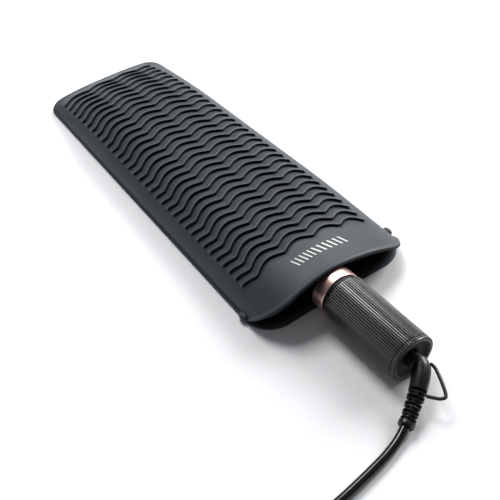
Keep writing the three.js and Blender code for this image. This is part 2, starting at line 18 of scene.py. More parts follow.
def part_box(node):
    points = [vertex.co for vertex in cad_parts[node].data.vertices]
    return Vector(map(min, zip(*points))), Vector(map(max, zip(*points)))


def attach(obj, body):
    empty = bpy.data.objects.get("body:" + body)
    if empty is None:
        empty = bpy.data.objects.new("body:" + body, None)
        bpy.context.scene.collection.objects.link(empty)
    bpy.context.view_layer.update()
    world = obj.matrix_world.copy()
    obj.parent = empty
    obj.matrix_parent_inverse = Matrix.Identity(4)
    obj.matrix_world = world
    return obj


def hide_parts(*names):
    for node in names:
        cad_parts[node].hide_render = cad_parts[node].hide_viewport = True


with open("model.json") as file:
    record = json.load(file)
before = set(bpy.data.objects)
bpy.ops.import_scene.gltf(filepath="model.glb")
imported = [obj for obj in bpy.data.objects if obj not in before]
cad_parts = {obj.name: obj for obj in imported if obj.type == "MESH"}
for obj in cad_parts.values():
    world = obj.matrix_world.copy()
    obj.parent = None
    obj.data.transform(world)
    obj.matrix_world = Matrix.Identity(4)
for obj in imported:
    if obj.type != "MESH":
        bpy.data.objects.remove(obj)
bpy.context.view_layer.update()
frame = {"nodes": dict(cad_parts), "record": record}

bl_info = {
    "name": "Curling Iron in Heat Sleeve",
    "version": (1, 0, 0),
    "blender": (4, 5, 0),
    "location": "View3D > Sidebar > Curling Iron",
    "description": "Builds the detailed surfaces and finishes of a curling iron in its heat sleeve",
    "category": "Object",
}

RECORD = frame["record"]
BODY_OF = {node: body for body, nodes in RECORD["behaviour"]["bodies"].items() for node in nodes}
SLOT_OF = {part["node"]: part["material_slot"] for part in RECORD["subparts"]}


# ---- places read from the frame -----------------------------------------------------------------
def corners(node):
    """Lowest and highest corner of a CAD node as arrays."""
    low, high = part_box(node)
    return np.array(low), np.array(high)


GRIP_LOW, GRIP_HIGH = corners("grip_shell")
FRONT = GRIP_LOW[0]
AXIS_Y, AXIS_Z = (GRIP_LOW[1:] + GRIP_HIGH[1:]) / 2


def turned_size(node):
    """Front station, back station and outer radius of a CAD node that is turned about the axis."""
    low, high = corners(node)
    return low[0] - FRONT, high[0] - FRONT, (high[2] - low[2]) / 2


# ---- surfaces as grids of points ----------------------------------------------------------------
def quads(rows, columns, wrap_rows=False, wrap_columns=False):
    """Corner numbers of every quad of a grid, joined round where it wraps."""
    index = np.arange(rows * columns).reshape(rows, columns)
    if wrap_rows:
        index = np.vstack([index, index[:1]])
    if wrap_columns:
        index = np.hstack([index, index[:, :1]])
    faces = np.stack([index[:-1, :-1], index[1:, :-1], index[1:, 1:], index[:-1, 1:]], -1)
    return faces.reshape(-1, 4).tolist()


def rounded(points, radius, steps=4, closed=True):
    """An outline with each corner P swapped for the curve (1-t)^2 A + 2t(1-t) P + t^2 B, where A and
    B lie on its two sides, a radius away or at most halfway along."""
    corner = np.asarray(points, float)
    before, after = np.roll(corner, 1, 0) - corner, np.roll(corner, -1, 0) - corner
    reach_before = np.linalg.norm(before, axis=1, keepdims=True)
    reach_after = np.linalg.norm(after, axis=1, keepdims=True)
    a = corner + before * np.minimum(radius / reach_before, 0.5)
    b = corner + after * np.minimum(radius / reach_after, 0.5)
    t = np.linspace(0, 1, steps + 1)[None, :, None]
    curve = (1 - t) ** 2 * a[:, None] + 2 * t * (1 - t) * corner[:, None] + t**2 * b[:, None]
    if not closed:
        return np.vstack([corner[:1], curve[1:-1].reshape(-1, 2), corner[-1:]])
    return curve.reshape(-1, 2)


def round_angles(sides):
    """Angles of a full turn in equal steps, as one row."""
    return np.linspace(0, 2 * np.pi, sides, endpoint=False)[None, :]


def turned(outline, sides, bump=None):
    """Grid of points of a body turned about the iron's axis: each (station, radius) of the outline
    goes round to (x, y, z) = (front + station, axis + radius cos a, axis + radius sin a). bump, a
    function of station, radius and angle, adds to the radius."""
    station, radius = np.asarray(outline, float).T[:, :, None]
    angle = round_angles(sides)
    radius = radius + (bump(station, radius, angle) if bump else 0 * angle)
    x = FRONT + station + 0 * angle
    return np.stack([x, AXIS_Y + radius * np.cos(angle), AXIS_Z + radius * np.sin(angle)], -1)


def through(points, per_span):
    """A smooth line through points: on each span, the cubic (2t^3-3t^2+1) P + (t^3-2t^2+t) M +
    (3t^2-2t^3) Q + (t^3-t^2) N, where M and N are the mean directions at its two ends."""
    p = np.asarray(points, float)
    slope = np.gradient(p, axis=0)
    t = np.linspace(0, 1, per_span, endpoint=False)[None, :, None]
    start, end, leave, arrive = p[:-1, None], p[1:, None], slope[:-1, None], slope[1:, None]
    line = (2 * t**3 - 3 * t**2 + 1) * start + (t**3 - 2 * t**2 + t) * leave
    line = line + (3 * t**2 - 2 * t**3) * end + (t**3 - t**2) * arrive
    return np.vstack([line.reshape(-1, 3), p[-1:]])


def distances(path):
    """Distance along a line of points from its start."""
    return np.concatenate([[0], np.cumsum(np.linalg.norm(np.diff(path, axis=0), axis=1))])


def unit(vectors):
    """Vectors brought to length 1 along the last axis."""
    return vectors / np.linalg.norm(vectors, axis=-1, keepdims=True)


def swept(path, sides, radius_at, lean=(0, 0, 1)):
    """Grid of points of a rod along a path: point + radius (cos a S + sin a U), where S is square to
    the path and to lean, and U is square to both. radius_at takes distance and angle arrays."""
    along = unit(np.gradient(path, axis=0))
    across = unit(np.cross(along, np.asarray(lean, float)))
    upward = np.cross(across, along)
    angle = round_angles(sides)
    radius = radius_at(distances(path)[:, None], angle)[..., None]
    ring = np.cos(angle)[..., None] * across[:, None] + np.sin(angle)[..., None] * upward[:, None]
    return path[:, None] + radius * ring


def smooth(low, high, value):
    """0 below low, 1 above high, and 3t^2 - 2t^3 between."""
    t = np.clip((value - low) / (high - low), 0, 1)
    return t * t * (3 - 2 * t)


# ---- from points to pieces ----------------------------------------------------------------------
def settle(piece, body, slot, stands_for=()):
    """Gives a piece its body and its slot's finish, and hides the CAD nodes that it stands for."""
    piece.data.materials.clear()
    piece.data.materials.append(finish(slot))
    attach(piece, body)
    if stands_for:
        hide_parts(*stands_for)
    return piece


def make_piece(name, points, faces, sharp=40, **marks):
    """A mesh object from points and faces, with doubles merged, faces turned outwards, and edges
    sharper than an angle kept sharp. marks are values at each point, kept as attributes."""
    mesh = bpy.data.meshes.new(name)
    mesh.from_pydata(np.asarray(points).reshape(-1, 3).tolist(), [], faces)
    for mark, values in marks.items():
        mesh.attributes.new(mark, "FLOAT", "POINT").data.foreach_set("value", values.ravel())
    work = bmesh.new()
    work.from_mesh(mesh)
    bmesh.ops.remove_doubles(work, verts=work.verts, dist=MERGE)
    bmesh.ops.recalc_face_normals(work, faces=work.faces)
    work.to_mesh(mesh)
    work.free()
    mesh.shade_smooth()
    mesh.set_sharp_from_angle(angle=math.radians(sharp))
    piece = bpy.data.objects.new(name, mesh)
    bpy.context.collection.objects.link(piece)
    return piece


def tube_outline(start, end, inner, outer):
    """Outline of a plain tube between two stations and two radii."""
    return [(start, inner), (start, outer), (end, outer), (end, inner)]


def turned_piece(name, node, outline, sides=128, closed=True, bump=None, sharp=40, **marks):
    """A turned surface that stands for one CAD node. marks are functions of the grid's points."""
    grid = turned(outline, sides, bump)
    faces = quads(*grid.shape[:2], wrap_rows=closed, wrap_columns=True)
    values = {mark: make(grid) for mark, make in marks.items()}
    return settle(make_piece(name, grid, faces, sharp, **values), BODY_OF[node], SLOT_OF[node], [node])


def off_axis(grid):
    """Distance of each point from the iron's axis."""
    return np.hypot(grid[..., 1] - AXIS_Y, grid[..., 2] - AXIS_Z)


def capped(grid):
    """Faces of a rod's grid, with one flat face over each end."""
    rows, columns = grid.shape[:2]
    first = list(range(columns))
    last = [(rows - 1) * columns + i for i in first]
    return quads(rows, columns, wrap_columns=True) + [first[::-1], last]


def softened(name, node, edge, segments=2):
    """A copy of a CAD node with doubles merged, flat faces joined and its edges rounded by a bevel."""
    source = frame["nodes"][node].data
    points = np.empty(len(source.vertices) * 3)
    source.vertices.foreach_get("co", points)
    faces = np.empty(len(source.loops), int)
    source.loops.foreach_get("vertex_index", faces)
    piece = make_piece(name, points, faces.reshape(-1, 3).tolist(), sharp=30)
    work = bmesh.new()
    work.from_mesh(piece.data)
    bmesh.ops.dissolve_limit(work, angle_limit=math.radians(1), verts=work.verts, edges=work.edges)
    work.to_mesh(piece.data)
    work.free()
    bevel = piece.modifiers.new("rounded_edges", "BEVEL")
    bevel.width = edge
    bevel.segments = segments
    bevel.limit_method = "ANGLE"
    bevel.angle_limit = math.radians(30)
    return settle(piece, BODY_OF[node], SLOT_OF[node], [node])


# ---- shader maths -------------------------------------------------------------------------------
class Value:
    """A shader socket, or a number, that adds a Math node when it is used in an expression."""

    def __init__(self, paint, socket):
        self.paint = paint
        self.socket = socket

    def maths(self, operation, first, second=0.0):
        """The result of a Math node on two numbers or sockets."""
        return self.paint.add("ShaderNodeMath", {"operation": operation}, {0: first, 1: second})

    def __add__(self, other):
        return self.maths("ADD", self, other)

    def __sub__(self, other):
        return self.maths("SUBTRACT", self, other)

    def __rsub__(self, other):
        return self.maths("SUBTRACT", other, self)

    def __mul__(self, other):
        return self.maths("MULTIPLY", self, other)

    __radd__ = __add__
    __rmul__ = __mul__

    def above(self, level):
        """1 where the value is over a level, 0 elsewhere."""
        return self.maths("GREATER_THAN", self, level)


class Paint:
    """One material: a Principled shader and the nodes that feed it."""

    def __init__(self, name, **constants):
        self.material = bpy.data.materials.new(name)
        self.material.use_nodes = True
        self.tree = self.material.node_tree
        self.tree.nodes.clear()
        self.shader = self.tree.nodes.new("ShaderNodeBsdfPrincipled")
        output = self.tree.nodes.new("ShaderNodeOutputMaterial")
        self.tree.links.new(self.shader.outputs[0], output.inputs[0])
        for socket, value in constants.items():
            self.shader.inputs[socket.replace("_", " ")].default_value = value

    def add(self, kind, settings=None, sockets=None, output=0):
        """Adds a node: its settings first, then the values or links of its sockets."""
        node = self.tree.nodes.new(kind)
        for key, value in (settings or {}).items():
            if key == "stops":
                self.set_stops(node.color_ramp, value)
            else:
                setattr(node, key, value)
        for key, value in (sockets or {}).items():
            if isinstance(value, Value):
                self.tree.links.new(value.socket, node.inputs[key])
            else:
                node.inputs[key].default_value = value
        return Value(self, node.outputs[output])

    def set_stops(self, ramp, stops):
        """Sets a ramp's stops, each a place and a shade of grey."""
        for _ in stops[2:]:
            ramp.elements.new(0.5)
        for element, (place, shade) in zip(ramp.elements, stops):
            element.position = place
            element.color = (shade, shade, shade, 1)

    def place(self, stretch=(1, 1, 1)):
        """Object coordinates, stretched along the axes."""
        here = self.add("ShaderNodeTexCoord", output="Object")
        return self.add("ShaderNodeMapping", {}, {"Vector": here, "Scale": stretch})

    def noise(self, scale, detail=3.0, stretch=(1, 1, 1)):
        """Noise on object coordinates, 0 to 1."""
        sockets = {"Vector": self.place(stretch), "Scale": scale, "Detail": detail, "Roughness": 0.6}
        return self.add("ShaderNodeTexNoise", {}, sockets)

    def mark(self, name):
        """A value kept on the piece's points."""
        return self.add("ShaderNodeAttribute", {"attribute_name": name}, output="Fac")

    def ramp(self, value, *stops):
        """Grey between stops, each a place and a shade."""
        return self.add("ShaderNodeValToRGB", {"stops": stops}, {"Fac": value})

    def blend(self, share, first, second):
        """Colour mix of two colours, each a colour or a link."""
        sockets = {0: share, 6: colour(first), 7: colour(second)}
        return self.add("ShaderNodeMix", {"data_type": "RGBA"}, sockets, output=2)

    def feed(self, **links):
        """Links values to the shader's sockets, named with underscores."""
        for socket, value in links.items():
            self.tree.links.new(value.socket, self.shader.inputs[socket.replace("_", " ")])
        return self

    def bump(self, height, depth):
        """Surface relief of a given depth in metres."""
        normal = self.add("ShaderNodeBump", {}, {"Height": height, "Distance": depth, "Strength": 1.0})
        return self.feed(Normal=normal)


def colour(value):
    """A link as it is, or a colour with alpha 1."""
    return value if isinstance(value, Value) else (*tuple(value)[:3], 1.0)


def shade(base, factor):
    """A colour made darker or lighter by a factor."""
    return tuple(channel * factor for channel in tuple(base)[:3])


# ---- finishes -----------------------------------------------------------------------------------
def chosen():
    """The colours and glosses set in the panel."""
    return bpy.context.scene.iron_finishes


def silicone():
    """Satin silicone: mottled, finely grained and dust-specked, with a painted highlight along the
    crests and painted shade where the shadow mark is set.
    """
    s = chosen()
    p = Paint("satin_silicone", Specular_IOR_Level=0.2, Sheen_Weight=0.06, Sheen_Roughness=0.5)
    mottle = p.ramp(p.noise(38, 4), (0.3, 0), (0.7, 1))
    body = p.blend(mottle, shade(s.silicone, 0.93), shade(s.silicone, 1.08))
    # The shadow mark is painted shade: the colour goes near black and rougher there.
    painted_shade = p.mark("shadow")
    speck = p.noise(2600, 2).above(0.74) * 0.3
    dusty = p.blend(speck, body, shade(s.silicone, 1.7))
    # The crest mark is a painted highlight: the colour turns pale along the step crests and the lip's
    # bead.
    painted_highlight = p.blend(p.mark("crest") * 0.8, dusty, shade(s.silicone, 3.2))
    p.feed(Base_Color=p.blend(painted_shade, painted_highlight, shade(s.silicone, 0.03)))
    p.feed(Roughness=p.noise(300, 3) * 0.14 + s.silicone_roughness + painted_shade * 0.3)
    return p.bump(p.noise(1500, 3), 0.00006).material


FLECK_GREY, SHADE_BLACK = (0.25, 0.25, 0.26), (0.0005, 0.0005, 0.0005)


def moulded(name, base, roughness, grain, fleck=0.0, **constants):
    """Moulded plastic: a faint change of tone, a fine grain, roughness that drifts a little, and
    painted shade, black and rough, where the shadow mark is set.
    """
    p = Paint(name, **constants)
    tone = p.ramp(p.noise(55, 3), (0.35, 0), (0.65, 1))
    body = p.blend(tone, shade(base, 0.85), shade(base, 1.15))
    if fleck:
        body = p.blend(p.noise(3200, 1).above(0.76) * fleck, body, FLECK_GREY)
    # Painted shade: where the shadow mark is set the colour goes near black and the gloss fades.
    shadow = p.mark("shadow")
    body = p.blend(shadow, body, SHADE_BLACK)
    p.feed(Base_Color=body, Roughness=p.noise(180, 4) * 0.12 + shadow * 0.7 + (roughness - 0.06))
    return p.bump(p.noise(grain, 2), 0.00002).material


def metal(name, base, roughness, stretch=(1, 1, 1), change=0.06, drift=0.12):
    """Metal: fine lines or grain in its gloss along a direction, and a slight change of colour."""
    p = Paint(name, Metallic=1.0)
    body = p.blend(p.noise(90, 3), shade(base, 1 - change), shade(base, 1 + change))
    p.feed(Base_Color=body, Roughness=p.noise(900, 3, stretch) * drift + (roughness - drift / 2))
    return p.bump(p.noise(900, 2, stretch), 0.00001 * drift).material


def black_satin():
    """Plastic of the grip."""
    return moulded("satin_black_plastic", chosen().plastic, 0.22, 2200, Specular_IOR_Level=0.85)


def black_gloss():
    """Plastic with a clear gloss."""
    base = shade(chosen().plastic, 0.7)
    return moulded("gloss_black_plastic", base, 0.16, 900, Coat_Weight=0.4, Coat_Roughness=0.06)


def soft_black():
    """Rougher plastic with faint flecks."""
    base = shade(chosen().plastic, 0.6)
    return moulded("matt_black_plastic", base, 0.5, 1800, fleck=0.05, Specular_IOR_Level=0.2)


def relief_black():
    """Soft vinyl of the strain relief."""
    return moulded("flexible_vinyl", chosen().vinyl, 0.36, 1500, Specular_IOR_Level=0.5)


def cord_black():
    """Smoother vinyl of the cord."""
    return moulded("cord_jacket", chosen().vinyl, 0.2, 1300, Specular_IOR_Level=0.5)


def rose_gold():
    """Plated ring, nearly even in colour and gloss."""
    return metal("polished_rose_gold", chosen().rose_gold, 0.36, change=0.02, drift=0.02)


def ceramic():
    """Dark flecked coating of the barrel and spoon."""
    return moulded("ceramic_coating", (0.05, 0.045, 0.045), 0.26, 1100, fleck=0.5, Metallic=0.25)


def aluminium():
    """Aluminium with fine lines along the iron."""
    return metal("machined_aluminium", (0.72, 0.73, 0.75), 0.34, (0.08, 1, 1))


def steel():
    """Steel with fine lines along the iron."""
    return metal("bright_steel", (0.66, 0.67, 0.69), 0.26, (0.12, 1, 1))


def brass():
    """Brass with an even grain."""
    return metal("bright_brass", (0.78, 0.58, 0.28), 0.28)


def insulator():
    """Off-white plastic and print."""
    return moulded("white_insulator", (0.80, 0.79, 0.76), 0.6, 1600, fleck=0.1)


def board_green():
    """Solder mask with a pale grid of tracks."""
    p = Paint("solder_mask", Coat_Weight=0.5, Coat_Roughness=0.1)
    wave = {"bands_direction": "DIAGONAL"}
    tracks = p.add("ShaderNodeTexWave", wave, {"Vector": p.place(), "Scale": 260.0, "Distortion": 3.0})
    lines = p.ramp(tracks, (0.8, 0), (0.88, 1))
    p.feed(Base_Color=p.blend(lines, (0.012, 0.09, 0.045), (0.05, 0.22, 0.1)))
    p.feed(Roughness=p.noise(200, 2) * 0.1 + 0.35)
    return p.bump(lines, 0.00003).material


FINISH_MAKERS = {maker.__name__: maker for maker in (
    silicone, black_satin, black_gloss, soft_black, relief_black, cord_black, rose_gold,
    ceramic, aluminium, steel, brass, insulator, board_green)}
made_finishes = {}


def finish(slot):
    """The material of a slot, made when it is first asked for."""
    if slot not in made_finishes:
        made_finishes[slot] = FINISH_MAKERS[slot]()
    return made_finishes[slot]


# ---- settings -----------------------------------------------------------------------------------
def length(name, description, default):
    """A setting in metres."""
    return FloatProperty(name=name, description=description, default=default, min=0, unit="LENGTH",
                         precision=5)


def tint(name, description, default):
    """A setting that is a colour."""
    return FloatVectorProperty(name=name, description=description, default=default, size=3, min=0,
                               max=1, subtype="COLOR")


class IronFinishes(bpy.types.PropertyGroup):
    """Colours and glosses of the finishes."""

    silicone: tint("Silicone", "Colour of the sleeve", (0.0425, 0.0535, 0.0610))
    silicone_roughness: FloatProperty(
        name="Silicone roughness", description="Lowest roughness of the sleeve", default=0.40, min=0,
        max=1, subtype="FACTOR")
    plastic: tint("Plastic", "Colour of the grip and shells", (0.0075, 0.0075, 0.008))
    vinyl: tint("Vinyl", "Colour of the strain relief and cord", (0.0035, 0.0035, 0.004))
    rose_gold: tint("Rose gold", "Colour of the trim ring", (0.78, 0.51, 0.47))


class SleeveSizes(bpy.types.PropertyGroup):
    """Sizes of the sleeve's raised pattern and lip."""

    step_height: length("Step height", "Height of each scalloped step", 0.0021)
    wave_height: length("Wave height", "Peak to peak size of the scallops", 0.0050)
    wave_length: length("Wave length", "Width of one scallop across the sleeve", 0.025)
    bead_height: length("Bead height", "How far the lip's bead stands up", 0.0011)
    thickness: length("Thickness", "Thickness of the upper sheet", 0.0022)
    rows: IntProperty(name="Rows", description="Number of scalloped steps", default=33, min=2)


class IronSizes(bpy.types.PropertyGroup):
    """Sizes of the iron's fine detail."""

    ribs: IntProperty(name="Ribs", description="Number of ribs round the grip", default=64, min=8)
    rib_height: length("Rib height", "Depth of the grooves between the ribs", 0.0007)
    edge: length("Edge", "Rounding of moulded edges", 0.0006)


class LeadSizes(bpy.types.PropertyGroup):
    """Sizes of the lead."""

    diameter: length("Cord diameter", "Diameter of the mains cord", 0.0065)
    relief_rings: IntProperty(name="Relief rings", description="Rings on the strain relief", default=9,
                              min=2)


class StageSettings(bpy.types.PropertyGroup):
    """Camera and light."""

    azimuth: FloatProperty(name="Azimuth", description="Direction of view; 0 looks along +Y",
                           default=math.radians(56.43), subtype="ANGLE")
    elevation: FloatProperty(name="Elevation", description="Height of the camera over the horizon",
                             default=math.radians(45.05), subtype="ANGLE")
    roll: FloatProperty(name="Roll", description="Turn of the camera about its own axis",
                        default=math.radians(-3.97), subtype="ANGLE")
    distance: length("Distance", "Distance from the camera to what it looks at", 0.6644)
    lens: FloatProperty(name="Lens", description="Focal length on a 36 mm sensor", default=64.11,
                        subtype="DISTANCE_CAMERA")


# ---- measures shared by the pieces --------------------------------------------------------------
MERGE = 2e-6

# Route of the strain relief, and of the lead after it as far as the coil.
RELIEF_ROUTE = [
    (0.2119, -0.0098, 0.0175),
    (0.2142, -0.0098, 0.0175),
    (0.2174, -0.0113, 0.0171),
    (0.2216, -0.0159, 0.0155),
    (0.2265, -0.0230, 0.0125),
    (0.2314, -0.0316, 0.0086),
    (0.2350, -0.0380, 0.0062),
    (0.2372, -0.0426, 0.0052),
]
LEAD_ROUTE = [
    (0.2374, -0.0431, 0.00515),
    (0.2408, -0.0515, 0.0038),
    (0.2441, -0.0635, 0.00335),
    (0.2464, -0.0770, 0.0033),
    (0.2484, -0.0915, 0.0033),
    (0.2499, -0.1040, 0.0035),
    (0.2509, -0.1145, 0.0041),
    (0.2511, -0.1234, 0.0045),
]
LOOP_ROUTE = [
    (0.2178, -0.0036, 0.0172),
    (0.2230, -0.0040, 0.0168),
    (0.2340, -0.0086, 0.0154),
    (0.2402, -0.0124, 0.0142),
    (0.2394, -0.0156, 0.0136),
    (0.2364, -0.0180, 0.0132),
    (0.2320, -0.0206, 0.0127),
]
TAIL_ROUTE = [
    (0.3429, -0.1234, 0.0108),
    (0.3429, -0.1170, 0.0098),
    (0.3429, -0.1080, 0.0085),
    (0.3429, -0.1006, 0.0084),
]
RELIEF_RADIUS = 0.0061
RELIEF_END_RADIUS = 0.0049
LOOP_RADIUS = 0.0012


# ---- stage --------------------------------------------------------------------------------------
CAMERA_TARGET = Vector((0.0502, -0.0227, 0.0))
FLOOR_HALF = 6.0
FLOOR_COLOUR, AIR_COLOUR, AIR_STRENGTH = (0.93, 0.94, 0.955), (0.93, 0.96, 1.0, 1), 0.16
SUN_SPREAD = math.radians(26)
PANEL_SIZE = 0.5
PART_MIDDLE, GRIP_MIDDLE = (0.05, -0.02, 0.0), (0.17, 0.0, 0.02)
# Name, kind, place, aim and strength of each light.
LIGHTS = (
    ("key", "SUN", (-0.1, 1.1, 0.60), PART_MIDDLE, 2.6),
    ("back", "AREA", (-0.595, 0.1625, 1.06), GRIP_MIDDLE, 11.0),
    ("rim", "AREA", (-0.595, 0.79, 0.71), GRIP_MIDDLE, 6.5),
)


def add_camera(context):
    """Camera at a distance from its target, turned by azimuth, elevation and roll."""
    s = context.scene.iron_stage
    level = math.cos(s.elevation)
    look = Vector((-math.sin(s.azimuth) * level, math.cos(s.azimuth) * level,
                   -math.sin(s.elevation)))
    camera = bpy.data.cameras.new("camera")
    camera.lens = s.lens
    camera.sensor_width = 36
    camera.clip_start = 0.01
    camera.clip_end = 20
    holder = bpy.data.objects.new("camera", camera)
    roll = Matrix.Rotation(s.roll, 3, "Z").to_quaternion()
    holder.rotation_mode = "QUATERNION"
    holder.rotation_quaternion = look.to_track_quat("-Z", "Y") @ roll
    holder.location = CAMERA_TARGET - look * s.distance
    context.collection.objects.link(holder)
    context.scene.camera = holder


def add_light(context, name, kind, place, aim, power):
    """A light at a place, turned to an aim."""
    light = bpy.data.lights.new(name, kind)
    light.energy = power
    lamp = bpy.data.objects.new(name, light)
    lamp.location = place
    lamp.rotation_mode = "QUATERNION"
    lamp.rotation_quaternion = (Vector(aim) - Vector(place)).to_track_quat("-Z", "Y")
    context.collection.objects.link(lamp)
    return light


def stage_paint(name, base):
    """A pale matt floor with a very slight unevenness of tone."""
    p = Paint(name, Roughness=0.9, Specular_IOR_Level=0.1)
    return p.feed(Base_Color=p.blend(p.noise(6, 2), shade(base, 0.985), shade(base, 1.0))).material


class CURLING_OT_stage(bpy.types.Operator):
    """Makes the camera, the pale floor and the soft studio light."""

    bl_idname = "curling.stage"
    bl_label = "Stage"

    def execute(self, context):
        add_camera(context)
        x, y = np.meshgrid([-FLOOR_HALF, FLOOR_HALF], [-FLOOR_HALF, FLOOR_HALF])
        grid = np.stack([x, y, 0 * x], -1)
        floor = make_piece("floor", grid, quads(2, 2))
        floor.data.materials.append(stage_paint("pale_floor", FLOOR_COLOUR))
        for name, kind, place, aim, power in LIGHTS:
            light = add_light(context, name, kind, place, aim, power)
            if kind == "SUN":
                light.angle = SUN_SPREAD
            else:
                light.size = PANEL_SIZE
        world = bpy.data.worlds.new("studio")
        world.use_nodes = True
        air = world.node_tree.nodes["Background"]
        air.inputs["Color"].default_value = AIR_COLOUR
        air.inputs["Strength"].default_value = AIR_STRENGTH
        context.scene.world = world
        context.scene.view_settings.view_transform = "Standard"
        return {"FINISHED"}


# ---- lead ---------------------------------------------------------------------------------------
def coil_points():
    """Turns of the coil: rings a diameter apart wound inwards on the lower layer and outwards on the
    upper one. The radius and the height step smoothly over a short arc near the end of each turn.
    Angles are in degrees."""
    low, high = corners("cord_coil")
    radius = bpy.context.scene.iron_lead.diameter / 2
    centre = (low + high) / 2
    outer = (high[0] - low[0]) / 2 - radius
    pitch = 0.0066
    bottom, top = low[2] + radius, high[2] - radius
    arc = 110
    inward, climb, outward = (430, 790, 1150), 1470, (1790, 2150, 2510)
    angle = np.arange(180, 2881, 7.5)
    ring = outer - pitch * sum(smooth(start, start + arc, angle) for start in inward)
    ring = ring + pitch * sum(smooth(start, start + arc, angle) for start in outward)
    height = bottom + (top - bottom) * smooth(climb, climb + arc, angle)
    turn = np.radians(angle)
    return np.stack([centre[0] + ring * np.cos(turn), centre[1] + ring * np.sin(turn), height], -1)


def lead_path():
    """The whole cord: from the strain relief to the coil, its turns, and on to the plug."""
    return np.vstack([through(LEAD_ROUTE, 4), coil_points(), through(TAIL_ROUTE, 5)])


class CURLING_OT_lead(bpy.types.Operator):
    """Makes the mains cord as one curve with a round section, from the strain relief to the plug."""

    bl_idname = "curling.lead"
    bl_label = "Mains cord"

    def execute(self, context):
        path = lead_path()
        size = context.scene.iron_lead.diameter
        curve = bpy.data.curves.new("mains_cord", "CURVE")
        curve.dimensions = "3D"
        curve.bevel_depth = size / 2
        curve.bevel_resolution = 5
        curve.use_fill_caps = True
        line = curve.splines.new("POLY")
        line.points.add(len(path) - 1)
        line.points.foreach_set("co", np.hstack([path, np.ones((len(path), 1))]).ravel())
        line.use_smooth = True
        cord = bpy.data.objects.new("mains_cord", curve)
        context.collection.objects.link(cord)
        settle(cord, "cord_swivel", "cord_black", ["cord_lead", "cord_coil", "cord_tail"])
        return {"FINISHED"}


class CURLING_OT_relief(bpy.types.Operator):
    """Makes the strain relief with its slotted rings, and the hanging eye."""

    bl_idname = "curling.relief"
    bl_label = "Strain relief"

    def execute(self, context):
        path = through(RELIEF_ROUTE, 48)
        whole = distances(path)[-1]
        rings = context.scene.iron_lead.relief_rings
        smooth_part, collar = 0.42 * whole, 0.92 * whole
        sides, slot_depth, collar_rise, nose_round = 64, 0.0018, 0.0004, 0.0007

        def slotted(distance, angle):
            """Tapered radius, and 1 in the slots before each ring: they leave two webs, which turn a
            quarter from ring to ring."""
            narrowing = smooth(0.2 * whole, whole, distance)
            taper = RELIEF_RADIUS - (RELIEF_RADIUS - RELIEF_END_RADIUS) * narrowing
            phase = (distance - smooth_part) / (collar - smooth_part) * rings
            inside = (phase > 0) & (phase < rings)
            groove = smooth(0.30, 0.42, phase % 1) * (1 - smooth(0.86, 0.98, phase % 1)) * inside
            web = smooth(0.95, 0.985, np.abs(np.cos(angle + np.pi / 2 * (np.floor(phase) % 2))))
            swell = collar_rise * smooth(collar - 0.001, collar, distance)
            nose = nose_round * smooth(whole - 0.0012, whole, distance) ** 2
            return taper + swell - nose, groove * (1 - web)

        def radius_at(distance, angle):
            """The outside, less the depth of the slots."""
            outside, slot = slotted(distance, angle)
            return outside - slot_depth * slot

        grid = swept(path, sides, radius_at)
        # The slots get painted shade.
        slot = slotted(distances(path)[:, None], round_angles(sides))[1]
        relief = make_piece("strain_relief_rings", grid, capped(grid), sharp=50, shadow=0.95 * slot)
        settle(relief, "cord_swivel", "relief_black", ["strain_relief"])

        line = through(LOOP_ROUTE, 8)
        loop = swept(line, 16, lambda distance, angle: LOOP_RADIUS + 0 * distance * angle)
        eye = make_piece("hanging_eye", loop, capped(loop), sharp=60)
        settle(eye, "cord_swivel", "relief_black", ["hanging_loop"])
        return {"FINISHED"}


class CURLING_OT_plug(bpy.types.Operator):
    """Makes the moulded plug with its finger grooves, its blades and the tie round the coil."""

    bl_idname = "curling.plug"
    bl_label = "Plug and tie"

    def execute(self, context):
        low, high = corners("plug_body")
        middle = (low + high) / 2
        half, height = (high[0] - low[0]) / 2, (high[2] - low[2]) / 2
        y = np.linspace(0, 1, 70)[:, None]
        angle = round_angles(96)
        neck_wide, neck_tall, groove, end_round = 0.0052, 0.0050, 0.0006, 0.0012
        # Half width and half height swell from the cord to the face; the section is a superellipse
        # |x/w|^p + |z/h|^p = 1, round at the cord and squarer at the face.
        swell = smooth(0.1, 0.5, y)
        grooves = groove * (0.5 + 0.5 * np.cos(y * 38 * np.pi)) * (y > 0.08) * (y < 0.42)
        end = end_round * (smooth(0.97, 1.0, y) ** 2 + smooth(0.03, 0, y))
        wide = neck_wide + (half - neck_wide) * swell - grooves - end
        tall = neck_tall + (height - neck_tall) * smooth(0.05, 0.5, y) - grooves - end
        power = 2 / (2 + 2.2 * swell)
        c, s = np.cos(angle), np.sin(angle)
        x = middle[0] + wide * np.sign(c) * np.abs(c) ** power
        z = middle[2] + tall * np.sign(s) * np.abs(s) ** power
        grid = np.stack([x, low[1] + (high[1] - low[1]) * y + 0 * angle, z], -1)
        plug = make_piece("mains_plug", grid, capped(grid), sharp=50)
        settle(plug, "cord_swivel", "soft_black", ["plug_body"])
        softened("blade_left", "plug_blade_left", 0.0004)
        softened("blade_right", "plug_blade_right", 0.0004)
        softened("coil_tie", "cord_tie", 0.0005)
        return {"FINISHED"}


# ---- sleeve -------------------------------------------------------------------------------------
UPPER_LOW, UPPER_HIGH = corners("sleeve_upper_sheet")
CLOSED_X, LIP_X = UPPER_LOW[0], UPPER_HIGH[0]
MOUTH_HALF, CLOSED_HALF = 0.0665, 0.0565
CROWN_Y = -0.010
SEAM = 0.0022
MOUTH_CORNER, CLOSED_CORNER = 0.022, 0.014
CROWN = [
    (CLOSED_X, 0.008),
    (-0.198, 0.0125),
    (-0.180, 0.019),
    (-0.155, 0.025),
    (-0.122, 0.0296),
    (-0.060, 0.0299),
    (0.040, 0.0312),
    (0.094, 0.0349),
    (LIP_X, 0.037),
]


def half_width(x):
    """Half the sleeve's width, growing in a straight line from the closed end to the mouth."""
    return CLOSED_HALF + (MOUTH_HALF - CLOSED_HALF) * (x - CLOSED_X) / (LIP_X - CLOSED_X)


